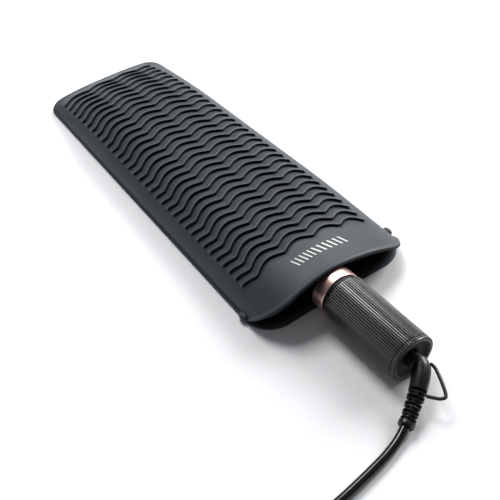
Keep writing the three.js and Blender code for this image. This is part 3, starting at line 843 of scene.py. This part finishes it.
def corner_setback(y, half, radius):
    """How far a rounded corner stands back at y: radius - sqrt(radius^2 - t^2), t into the corner."""
    into = np.clip((np.abs(y) - half + radius) / radius, 0, 1)
    return radius * (1 - np.sqrt(1 - into**2))


def across_at(side, x):
    """y of a share of the way from the crown line to the seam, -1 to 1."""
    half = half_width(x)
    near, far = CROWN_Y + side * (half + CROWN_Y), CROWN_Y + side * (half - CROWN_Y)
    return np.where(side < 0, near, far)


def crown_height(x):
    """Height of the crown line: a curve through its stations, eased between them."""
    station, height = np.array(CROWN).T
    spread = np.linspace(-0.012, 0.012, 7)
    return sum(np.interp(x + shift, station, height) for shift in spread) / len(spread)


def skin(side, x):
    """Smooth upper sheet at a side share and a station: height = seam + crown x arch x rise. The
    arch is a superellipse, square-shouldered over the barrel and slack like a tent near the mouth,
    and the rise is a quarter circle over the first few millimetres of the closed end."""
    y = across_at(side, x)
    tent = smooth(0.020, 0.125, x)
    near = np.sqrt(np.clip(1 - np.abs(side) ** 1.9, 0, 1))
    far = np.clip(1 - np.abs(side) ** (3 - 1.6 * tent), 0, 1) ** (0.5 + 0.1 * tent)
    low = CLOSED_X + corner_setback(y, half_width(x), CLOSED_CORNER)
    start = np.clip((x - low) / 0.007, 0, 1)
    rise = np.sqrt(np.clip(1 - (1 - start) ** 2, 0, 1))
    z = SEAM + (crown_height(x) - SEAM) * np.where(side < 0, near, far) * rise
    return np.stack([x + 0 * side, y, z], -1)


# One pitch of the pattern, as shares of the way from one crest to the next: the height there, the
# painted shade at the foot of the step, and the painted highlight along the crest.
STEP = np.array([
    (0.000, 1.00, 0.00, 1.0),
    (0.012, 0.93, 0.25, 0.3),
    (0.030, 0.60, 0.95, 0.0),
    (0.060, 0.16, 1.00, 0.0),
    (0.100, 0.02, 1.00, 0.0),
    (0.135, 0.00, 0.95, 0.0),
    (0.190, 0.03, 0.45, 0.0),
    (0.280, 0.12, 0.30, 0.0),
    (0.420, 0.33, 0.20, 0.0),
    (0.600, 0.57, 0.10, 0.0),
    (0.780, 0.80, 0.04, 0.0),
    (0.910, 0.95, 0.00, 0.05),
    (0.970, 1.00, 0.00, 0.8),
])
# Height of the smooth border, as a share of a step's height.
BORDER = 0.32
# The outer skin has some columns for each one of the inner skin.
INNER_COLUMNS, OUTER_PER_INNER = 30, 6
# Place of the first crest, pitch of the crests, and how much the pitch closes up along the sleeve.
ROW_START, ROW_PITCH, ROW_CLOSING = -0.1915, 0.00953, 0.00002
# Where the steps end on the far side, at the closed end, and how much further out by the mouth; how
# far short of the near edge they end; and the width over which they fade out.
STEPS_FAR_Y, STEPS_FAR_GAIN, STEPS_GAIN_END = 0.0425, 0.0080, 0.093
STEPS_NEAR_MARGIN, STEPS_FADE = 0.0068, 0.0016
# The printed strokes: their place and half height along the sleeve, and across it, as shares of the
# way to the seam, their span, lean and half width.
MARK_X, MARK_HALF = 0.1085, 0.0038
MARK_SPAN, MARK_LEAN, MARK_WIDTH = (-0.27, 0.35), 0.020, 0.0085
MARK_STROKES = 11


def wave(s, rows_share, sizes):
    """Scallops across the sleeve: 1 - sqrt(sin^2 + softening), cusps pointing to the mouth."""
    phase = (s - 0.0105) / sizes.wave_length
    cusp = 1.02 - np.sqrt(np.sin(np.pi * phase) ** 2 + 0.02)
    return (sizes.wave_height * (0.85 + 0.15 * rows_share)) * (cusp - 0.45)


def pattern_columns():
    """Side shares of the columns: closer together towards the seams, where the sheet is steep."""
    return np.sin(np.pi / 2 * np.linspace(-1, 1, OUTER_PER_INNER * INNER_COLUMNS + 1))


def crest_lines(side, sizes):
    """x of each crest at each column; the scallops follow the distance across the sheet."""
    k = np.arange(sizes.rows)[:, None]
    x = ROW_START + ROW_PITCH * k - ROW_CLOSING * k**2
    points = skin(side[None, :] + 0 * x, x + 0 * side[None, :])
    step = np.linalg.norm(np.diff(points[..., 1:], axis=1), axis=-1)
    s = np.concatenate([np.zeros((len(x), 1)), np.cumsum(step, axis=1)], axis=1)
    crown = np.argmin(np.abs(side))
    s = s - s[:, crown:crown + 1]
    return x + wave(s, k / (sizes.rows - 1), sizes)


def sheet_grid(side, sizes):
    """x, height share, painted shade and painted highlight of each grid point, and x of the lip at
    each column.
    Rows follow the crests: from the closed end's outline to the first crest, then a pitch at a time,
    then on to the lip's outline."""
    crests = crest_lines(side, sizes)
    ends = across_at(side, CLOSED_X), across_at(side, LIP_X)
    low = CLOSED_X + corner_setback(ends[0], CLOSED_HALF, CLOSED_CORNER)
    high = LIP_X - corner_setback(ends[1], MOUTH_HALF, MOUTH_CORNER)
    # The STEP columns give the painted shade at the foot of each step and the painted highlight along
    # each crest.
    share, rise, shade_mark, painted_highlight = STEP.T[:, None, :, None]
    between = crests[:-1, None] + (crests[1:] - crests[:-1])[:, None] * share
    pitches = between.reshape(-1, len(side))
    heights, shadows, highlight_rows = [
        np.tile(part[0], (len(crests) - 1, 1)) + 0 * pitches for part in (rise, shade_mark, painted_highlight)]
    lead_in = np.concatenate([np.linspace(0, 0.35, 9), np.linspace(0.42, 0.97, 9)])[:, None]
    first = low + (crests[0] - low) * lead_in
    first_height = BORDER + (1 - BORDER) * smooth(0.35, 1, lead_in) + 0 * first
    last_pitch = (crests[-1] - crests[-2])[None]
    # The last crest falls away over the first few rows of one more pitch.
    share, rise, shade_mark, painted_highlight = [part[0][:8] for part in (share, rise, shade_mark, painted_highlight)]
    drop = crests[-1][None] + last_pitch * share
    drop_height = np.maximum(rise, BORDER * smooth(0.1, 0.3, share)) + 0 * drop
    out = np.linspace(0, 1, 26)[1:, None] ** 0.8
    rest = drop[-1] + (high - drop[-1]) * out
    rest_height = BORDER * (0.4 + 0.6 * smooth(0, 0.25, out)) + 0 * rest
    x = np.vstack([first, pitches, drop, rest])
    height = np.vstack([first_height, heights, drop_height, rest_height])
    shadow = np.vstack([0 * first, shadows, shade_mark + 0 * drop, 0 * rest])
    highlight = np.vstack([smooth(0.9, 1, lead_in) + 0 * first, highlight_rows, painted_highlight + 0 * drop, 0 * rest])
    return x, height, shadow, highlight, high


def rib_mask(x, y):
    """1 where the steps are, 0 on the smooth border beyond their ends."""
    along = (x - ROW_START) / (STEPS_GAIN_END - ROW_START)
    far_end = STEPS_FAR_Y + STEPS_FAR_GAIN * along
    near_end = half_width(x) - STEPS_NEAR_MARGIN
    far_fade = smooth(far_end - STEPS_FADE, far_end, y)
    near_fade = smooth(near_end - STEPS_FADE, near_end, -y)
    return (1 - far_fade) * (1 - near_fade)


def normals_of(points):
    """Unit normal of each grid point, square to the rows and columns through it, pointing up."""
    down = np.gradient(points, axis=0)
    over = np.gradient(points, axis=1)
    return unit(np.cross(down, over))


def upper_sheet(sizes):
    """Outer and inner skins of the upper sheet, row by row, with the painted shade and the painted
    highlight of each outer point. The lip's bead is the bell curve exp(-d^2) of the distance to the
    lip, and four rows go round its edge in a quarter turn from each skin."""
    side = pattern_columns()
    x, height, shadow, highlight, high = sheet_grid(side, sizes)
    base = skin(side[None, :] + 0 * x, x)
    normal = normals_of(base)
    mask = rib_mask(x, base[..., 1])
    lift = sizes.step_height * (BORDER + mask * (height - BORDER)) - sizes.step_height * BORDER
    to_lip = high[None] - x
    bead = sizes.bead_height * np.exp(-(((to_lip - 0.0014) / 0.0011) ** 2))
    outer = base + normal * (lift + bead)[..., None]
    inner = (base - normal * sizes.thickness)[:, ::OUTER_PER_INNER]
    turn = np.radians([20, 40, 60, 80])[:, None, None]
    depth = sizes.thickness / 2
    forward = np.array([1.0, 0, 0])
    lip_out = outer[-1] + depth * np.sin(turn) * forward - depth * (1 - np.cos(turn)) * normal[-1]
    edge_normal = normal[-1, ::OUTER_PER_INNER]
    lip_in = inner[-1] + depth * np.sin(turn) * forward + depth * (1 - np.cos(turn)) * edge_normal
    outer = np.concatenate([outer, lip_out])
    inner = np.concatenate([inner, lip_in])
    # Painted highlight along the lip's bead.
    lip_highlight = 0.35 * np.exp(-(((to_lip - 0.0012) / 0.0007) ** 2))
    at_lip = np.zeros((len(turn), len(side)))
    # Painted shade on the lowest few millimetres of the near side, which faces away from the light.
    near_side_shade = 0.7 * (1 - smooth(0.0035, 0.0065, base[..., 2])) * (base[..., 1] < 0)
    # The lip's turned rows get painted shade.
    shadow = np.concatenate([np.maximum(shadow * mask, near_side_shade), at_lip + 0.75])
    highlight = np.concatenate([np.maximum(highlight * mask, lip_highlight), at_lip])
    return outer, inner, shadow, highlight


def add_mark():
    """A pale row of plain slanted strokes, printed on the smooth panel by the mouth."""
    reach = np.linspace(-1, 1, 9)
    x = MARK_X + MARK_HALF * reach
    points, faces = [], []
    for middle in np.linspace(*MARK_SPAN, MARK_STROKES):
        centre = middle + MARK_LEAN * reach
        loop = np.vstack([skin(centre - MARK_WIDTH, x), skin(centre + MARK_WIDTH, x)[::-1]])
        wall = np.stack([loop - (0, 0, 0.0002), loop + (0, 0, 0.00008)])
        first = sum(len(part) for part in points)
        faces += [[first + corner for corner in face] for face in capped(wall)]
        points.append(wall.reshape(-1, 3))
    strokes = make_piece("printed_strokes", np.vstack(points), faces, sharp=30)
    settle(strokes, "sleeve", "insulator")


class CURLING_OT_sleeve_top(bpy.types.Operator):
    """Makes the sleeve's upper sheet: scalloped steps, a smooth border, and a beaded lip."""

    bl_idname = "curling.sleeve_top"
    bl_label = "Sleeve, upper sheet"

    def execute(self, context):
        outer, inner, shadow, highlight = upper_sheet(context.scene.sleeve_sizes)
        # Each row is one closed loop: over the outer skin, and back along the inner one.
        grid = np.concatenate([outer, inner[:, ::-1]], axis=1)
        # Painted shade over the whole inner skin, so that the inside of the mouth is dark.
        inside = np.full(inner.shape[:2], 0.9)
        shade_mark = np.concatenate([shadow, inside], axis=1)
        painted_highlight = np.concatenate([highlight, 0 * inside], axis=1)
        rows, columns = grid.shape[:2]
        faces = quads(rows, columns, wrap_columns=True)
        inner_at = columns - 1 - np.arange(INNER_COLUMNS + 1)
        for first in (0, (rows - 1) * columns):
            faces += [
                [first + OUTER_PER_INNER * j + i for i in range(OUTER_PER_INNER + 1)]
                + [first + inner_at[j + 1], first + inner_at[j]]
                for j in range(INNER_COLUMNS)
            ]
        faces = [[int(corner) for corner in face] for face in faces]
        sheet = make_piece("sleeve_top", grid, faces, sharp=180, shadow=shade_mark, crest=painted_highlight)
        settle(sheet, "sleeve", "silicone", ["sleeve_upper_sheet"])
        add_mark()
        return {"FINISHED"}


class CURLING_OT_sleeve_base(bpy.types.Operator):
    """Makes the sleeve's lower sheet with its rim, and the ears at the mouth's corners."""

    bl_idname = "curling.sleeve_base"
    bl_label = "Sleeve, lower sheet"

    def execute(self, context):
        low, high = corners("sleeve_lower_sheet")
        floor = high[2] - low[2]
        # The lower sheet stands out past the upper one by its edge, and ends at its own lip.
        edge, lip = 0.0006, 0.1258
        turn = np.linspace(-1, 1, 200)
        y_back = np.sin(np.pi / 2 * turn) * (CLOSED_HALF + edge)
        x_back = CLOSED_X - edge + corner_setback(y_back, CLOSED_HALF + edge, CLOSED_CORNER)
        y_front = np.sin(np.pi / 2 * -turn) * (MOUTH_HALF + edge)
        x_front = lip - corner_setback(y_front, MOUTH_HALF + edge, MOUTH_CORNER)
        back, front = np.stack([x_back, y_back], -1), np.stack([x_front, y_front], -1)
        outline = np.concatenate([back, front])
        centre = np.array([(CLOSED_X + lip) / 2, 0])
        # Rings go from the middle of the underside out round the rim to the middle of the top.
        r = floor / 2
        curl = np.linspace(-np.pi / 2, np.pi / 2, 9)
        inset = np.concatenate([[1.0, 0.3, 0.02], (1 - np.cos(curl)) * r / 0.06, [0.04, 0.3, 1.0]])
        z = np.concatenate([[0, 0, 0], r + r * np.sin(curl), [floor, floor, floor]])
        ring = centre + (outline[None] - centre) * (1 - inset)[:, None, None]
        grid = np.concatenate([ring, z[:, None, None] + 0 * ring[..., :1]], -1)
        # Painted shade on the top rows of the lower sheet, inside the mouth.
        mouth_floor_shade = np.where(np.arange(len(z)) >= len(z) - 3, 0.9, 0.0)[:, None] + 0 * ring[..., 0]
        sheet = make_piece("sleeve_base", grid, quads(*grid.shape[:2], wrap_columns=True), sharp=60,
                           shadow=mouth_floor_shade)
        settle(sheet, "sleeve", "silicone", ["sleeve_lower_sheet"])
        for name, side in (("ear_far", 1), ("ear_near", -1)):
            self.add_ear(name, side)
        return {"FINISHED"}

    def add_ear(self, name, side):
        """A pinched tab: the superellipsoid |x/a|^2.5 + |y/b|^2.5 + |z/c|^2.5 = 1."""
        up = np.linspace(-np.pi / 2, np.pi / 2, 21)[:, None]
        turn = round_angles(32)
        middle, size = (0.1025, side * 0.0664, 0.0031), (0.0040, 0.0028, 0.0030)

        def bent(value):
            """A sine or cosine raised to the power 2/2.5, its sign kept."""
            return np.sign(value) * np.abs(value) ** 0.8

        x = middle[0] + size[0] * bent(np.cos(up)) * bent(np.cos(turn))
        y = middle[1] + size[1] * bent(np.cos(up)) * bent(np.sin(turn))
        z = middle[2] + size[2] * bent(np.sin(up)) + 0 * turn
        grid = np.stack([x, y, z], -1)
        ear = make_piece(name, grid, quads(*grid.shape[:2], wrap_columns=True), shadow=0 * x)
        settle(ear, "sleeve", "silicone")


# ---- grip, ring and cap -------------------------------------------------------------------------
# How far the ribs' tops stand out past the CAD surface, and how many columns each rib takes.
PROUD, SIDES_PER_RIB = 0.0001, 12


def rib_grooves(angle, ribs):
    """1 in the groove between two ribs and 0 on their flat tops, as a function of the angle."""
    return smooth(0.45, 0.95, np.abs(2 * (angle * ribs / (2 * np.pi) % 1) - 1))


def groove_shade(grid, top):
    """Painted shade: 1 at the bottom of a groove below a rib's top, 0 on the rib and on faces further
    in.
    """
    depth = top - off_axis(grid)
    return 0.95 * smooth(0.0001, 0.0004, depth) * (depth < 0.0011)


class CURLING_OT_grip(bpy.types.Operator):
    """Makes the ribbed grip, the seal and the rose gold ring in front of it."""

    bl_idname = "curling.grip"
    bl_label = "Grip and ring"

    def execute(self, context):
        sizes = context.scene.iron_sizes
        front, back, radius = turned_size("grip_shell")
        bore = 0.0152

        def ribs(station, r, angle):
            """Flat ribs between narrow grooves on the outer face."""
            outside = smooth(radius - 0.0012, radius - 0.0008, r)
            ends = smooth(front + 0.0003, front + 0.0010, station)
            return outside * (PROUD - sizes.rib_height * ends * rib_grooves(angle, sizes.ribs))

        # The outer face gets rows of its own between the rounded ends.
        lip = rounded(tube_outline(front, back, bore, radius), 0.0004, 6, closed=False)
        stations = np.linspace(front + 0.0012, back - 0.0012, 14)
        straight = np.stack([stations, radius + 0 * stations], -1)
        outline = np.vstack([lip[:8], straight, lip[8:]])
        # The grooves between the ribs get painted shade.
        turned_piece("ribbed_grip", "grip_shell", outline, sides=sizes.ribs * SIDES_PER_RIB, bump=ribs,
                     sharp=60, shadow=lambda grid: groove_shade(grid, radius + PROUD))

        # The seal starts early by the same length as the ring ends short of it.
        shift = 0.0012
        start, end, outer = turned_size("seal_ring")
        seal = rounded(tube_outline(start - shift, end, bore, outer), 0.0003, 6)
        turned_piece("seal_band", "seal_ring", seal, sharp=60)
        start, end, outer = turned_size("rose_gold_ring")
        ring = rounded(tube_outline(start, end - shift, bore, outer), 0.0008, 6)
        turned_piece("rose_gold_band", "rose_gold_ring", ring, sharp=60)
        return {"FINISHED"}


class CURLING_OT_cap(bpy.types.Operator):
    """Makes the dished end cap and the swivel's stem."""

    bl_idname = "curling.cap"
    bl_label = "End cap and swivel"

    def execute(self, context):
        ribs = context.scene.iron_sizes.ribs
        start, end, radius = turned_size("end_cap")
        # Radii of the swivel's hole, the dish and the cap itself; stations of the dish's floor and the
        # plain edge; depth of the grooves.
        hole, dish, outer = 0.0065, 0.0125, radius + 0.0003
        floor, face, groove = start + 0.0007, end - 0.0008, 0.0007
        section = [(start, hole), (start, outer), (start + 0.0008, outer), (face - 0.0006, outer),
                   (face, outer), (end - 0.0002, radius + 0.0001), (end, dish + 0.0024),
                   (floor + 0.0004, dish + 0.0002), (floor, dish - 0.0020), (floor, hole)]

        def recess(grid):
            """Painted shade: 1 in the dish and in the rib grooves, 0 on the cap's outer face."""
            inside = 1 - smooth(dish + 0.0016, dish + 0.0034, off_axis(grid))
            return 0.95 * np.maximum(inside, groove_shade(grid, outer + PROUD))

        def cap_ribs(station, r, angle):
            """The grip's ribs, carried on over the cap as far as its plain edge."""
            outside = smooth(radius - 0.0002, radius + 0.0001, r)
            before_edge = 1 - smooth(face - 0.0005, face, station)
            return outside * before_edge * (PROUD - groove * rib_grooves(angle, ribs))

        # The dish and the rib grooves get painted shade.
        turned_piece("dished_cap", "end_cap", rounded(section, 0.0004, 4), sides=ribs * SIDES_PER_RIB,
                     bump=cap_ribs, sharp=60, shadow=recess)
        front, back, flange = turned_size("swivel_stem")
        neck, step = 0.0061, front + 0.0035
        stem = [(front, 0), (front, flange), (step, flange), (step, neck), (back, neck), (back, 0)]
        stem = rounded(stem, 0.0005, 4, closed=False)
        turned_piece("swivel_shaft", "swivel_stem", stem, sides=96, closed=False)
        return {"FINISHED"}


# ---- barrel and clamp ---------------------------------------------------------------------------
class CURLING_OT_barrel(bpy.types.Operator):
    """Makes the barrel tube, the vented heat collar and the cool tip."""

    bl_idname = "curling.barrel"
    bl_label = "Barrel and tip"

    def execute(self, context):
        start, end, radius = turned_size("barrel_tube")
        wall = 0.0008
        tube = rounded(tube_outline(start, end, radius - wall, radius), 0.0003, 4)
        turned_piece("ceramic_barrel", "barrel_tube", tube, sharp=60)

        start, end, outer = turned_size("heat_collar")
        # The fins follow a cosine, with six turns along the collar.
        stations = np.linspace(start, end, 60)
        fins = 0.00045 * (0.5 + 0.5 * np.cos((stations - start) / (end - start) * 12 * np.pi))
        outside = np.stack([stations, outer - 0.0005 + fins], -1)
        hole = radius + 0.0003
        section = np.vstack([[(start, hole)], outside, [(end, hole)]])
        turned_piece("finned_collar", "heat_collar", section, sharp=40)

        start, end, outer = turned_size("cool_tip")
        plug = radius - wall - 0.0003
        shoulder = end - 0.0053
        screw, recess = 0.0014, start + 0.0030
        nose = [(recess, screw), (recess, 0.0030), (start, 0.0030), (start, 0.0054),
                (start + 0.0012, 0.0072), (start + 0.0040, 0.0089), (start + 0.0090, outer),
                (shoulder - 0.006, outer), (shoulder - 0.0055, outer - 0.0005),
                (shoulder - 0.005, outer), (shoulder, outer), (shoulder, plug), (end, plug),
                (end, screw)]
        turned_piece("cool_end", "cool_tip", rounded(nose, 0.0004, 3), sharp=50)
        return {"FINISHED"}


class CURLING_OT_clamp(bpy.types.Operator):
    """Makes the spring clamp: spoon, lever, thumb rest, rivets, bracket and pin."""

    bl_idname = "curling.clamp"
    bl_label = "Spring clamp"

    def execute(self, context):
        low, high = corners("clamp_spoon")
        front, back = low[0] - FRONT, high[0] - FRONT
        thick, bore = 0.0008, 0.0101
        half = math.radians(38)
        # Rows are closer together at the tip, where the spoon narrows and lifts off the barrel.
        stations = front + (back - front) * np.linspace(0, 1, 90) ** 1.6
        knots = front + np.array([0, 0.004, 0.014, 0.040])
        share = np.interp(stations, knots, [0.42, 0.75, 0.92, 1.0])
        lift = np.interp(stations, knots, [0.0016, 0.0005, 0, 0])
        # Section: out over the outer arc, round the edge, and back under the inner arc.
        spread = np.linspace(-1, 1, 41)
        curl = np.linspace(0, np.pi, 7)[1:-1]
        turn = np.concatenate([spread, 1 + 0 * curl, spread[::-1], -1 + 0 * curl])
        outer_share = 0.5 + 0.5 * np.cos(curl)
        depth = thick * np.concatenate([1 + 0 * spread, outer_share, 0 * spread, 1 - outer_share])
        bulge = np.concatenate([0 * spread, np.sin(curl), 0 * spread, -np.sin(curl)]) * 0.04
        angle = half * share[:, None] * (turn + bulge)[None, :]
        radius = bore + lift[:, None] + depth[None, :]
        x = FRONT + stations[:, None] + 0 * angle
        grid = np.stack([x, AXIS_Y + radius * np.cos(angle), AXIS_Z + radius * np.sin(angle)], -1)
        spoon = make_piece("clamp_paddle", grid, capped(grid), sharp=50)
        settle(spoon, "clamp", "ceramic", ["clamp_spoon"])
        softened("thumb_lever", "clamp_lever", 0.0004)
        softened("thumb_pad", "thumb_rest", 0.0006, 3)
        softened("rivet_front", "clamp_rivet_front", 0.0003)
        softened("rivet_back", "clamp_rivet_back", 0.0003)
        softened("hinge_bracket", "clamp_bracket", 0.0002)
        softened("hinge_pin", "clamp_pin", 0.0003)
        return {"FINISHED"}


# ---- housing and controls -----------------------------------------------------------------------
class CURLING_OT_controls(bpy.types.Operator):
    """Makes the housing shells, the display lens and the three buttons with their raised signs."""

    bl_idname = "curling.controls"
    bl_label = "Housing and controls"

    def execute(self, context):
        edge = context.scene.iron_sizes.edge
        softened("housing_top", "housing_upper", edge / 3)
        softened("housing_base", "housing_lower", edge / 3)
        softened("display_window", "display_lens", edge / 2, 3)
        for name in ("power", "plus", "minus"):
            self.add_button(name)
        return {"FINISHED"}

    def add_button(self, name):
        """A round key, dished as height - depth (1 - (r/R)^2), with its sign standing in the dish."""
        node = name + "_button"
        low, high = corners(node)
        centre = (low[:2] + high[:2]) / 2
        foot = (high[0] - low[0]) / 2
        radius, dish = 0.0028, 0.00025
        bowl = np.linspace(1, 0, 14)
        top = np.stack([radius * 0.86 * bowl, high[2] - dish * (1 - bowl**2)], -1)
        side = [(0, low[2]), (foot, low[2]), (foot, low[2] + 0.001), (radius, low[2] + 0.001),
                (radius, high[2] - 0.0004), (radius * 0.95, high[2] - 0.0001)]
        outline = np.vstack([side, top])
        angle = round_angles(48)
        r, z = outline[:, :1], outline[:, 1:]
        x, y = centre[0] + r * np.cos(angle), centre[1] + r * np.sin(angle)
        grid = np.stack([x, y, z + 0 * angle], -1)
        faces = quads(*grid.shape[:2], wrap_columns=True)
        key = make_piece(name + "_key_cap", grid, faces, sharp=50)
        settle(key, BODY_OF[node], SLOT_OF[node], [node])
        floor = high[2] - dish - 0.0001
        levels = np.array([floor, floor + 0.0003])[:, None, None]
        for number, outline in enumerate(self.sign_points(name)):
            loops = np.stack([centre + outline] * 2)
            wall = np.concatenate([loops, levels + 0 * loops[..., :1]], -1)
            mark = make_piece(f"{name}_sign_{number}", wall, capped(wall), sharp=30)
            settle(mark, BODY_OF[node], "insulator")

    def sign_points(self, name):
        """Outlines of a plain bar, a plain cross, or a broken ring with a bar across its gap."""
        long, thin = 0.0012, 0.00022
        bar = np.array([(-thin, -long), (thin, -long), (thin, long), (-thin, long)])
        if name == "minus":
            return [bar]
        if name == "plus":
            quarter = np.array([(-long, -thin), (-thin, -thin), (-thin, -long)])
            # Each quarter of the cross is the one before, turned by 90 degrees.
            quarters = [quarter, quarter[:, ::-1] * (-1, 1), -quarter, quarter[:, ::-1] * (1, -1)]
            return [np.vstack(quarters)]
        turn = np.linspace(math.radians(35), math.radians(325), 40)
        ring = np.stack([np.cos(turn), np.sin(turn)], -1)
        arc = np.vstack([ring * (long + thin), ring[::-1] * (long - thin)])
        across = np.array([(0, -thin), (long + thin, -thin), (long + thin, thin), (0, thin)])
        return [arc, across]


class CURLING_OT_works(bpy.types.Operator):
    """Gives the CAD pieces that stay, inside the grip and barrel, their finishes."""

    bl_idname = "curling.works"
    bl_label = "Inner works"

    def execute(self, context):
        for node, piece in frame["nodes"].items():
            piece.data.materials.clear()
            piece.data.materials.append(finish(SLOT_OF[node]))
        return {"FINISHED"}


# ---- panel and registration ---------------------------------------------------------------------
OPERATORS = (
    CURLING_OT_stage,
    CURLING_OT_works,
    CURLING_OT_relief,
    CURLING_OT_plug,
    CURLING_OT_lead,
    CURLING_OT_sleeve_top,
    CURLING_OT_sleeve_base,
    CURLING_OT_grip,
    CURLING_OT_cap,
    CURLING_OT_barrel,
    CURLING_OT_clamp,
    CURLING_OT_controls,
)
SETTINGS = {
    "iron_finishes": IronFinishes,
    "sleeve_sizes": SleeveSizes,
    "iron_sizes": IronSizes,
    "iron_lead": LeadSizes,
    "iron_stage": StageSettings,
}


class CURLING_PT_panel(bpy.types.Panel):
    """Lists the settings and the pieces in the order in which they are made."""

    bl_label = "Curling Iron"
    bl_idname = "CURLING_PT_panel"
    bl_space_type = "VIEW_3D"
    bl_region_type = "UI"
    bl_category = "Curling Iron"

    def draw(self, context):
        for name, group in SETTINGS.items():
            box = self.layout.box()
            for setting in group.__annotations__:
                box.prop(getattr(context.scene, name), setting)
        for operator in OPERATORS:
            self.layout.operator(operator.bl_idname)


def register():
    for name, group in SETTINGS.items():
        bpy.utils.register_class(group)
        setattr(bpy.types.Scene, name, PointerProperty(type=group))
    for operator in OPERATORS:
        bpy.utils.register_class(operator)
    bpy.utils.register_class(CURLING_PT_panel)


def unregister():
    bpy.utils.unregister_class(CURLING_PT_panel)
    for operator in reversed(OPERATORS):
        bpy.utils.unregister_class(operator)
    for name, group in SETTINGS.items():
        delattr(bpy.types.Scene, name)
        bpy.utils.unregister_class(group)


def main():
    register()
    for operator in OPERATORS:
        family, name = operator.bl_idname.split(".")
        getattr(getattr(bpy.ops, family), name)()


if __name__ == "__main__":
    main()
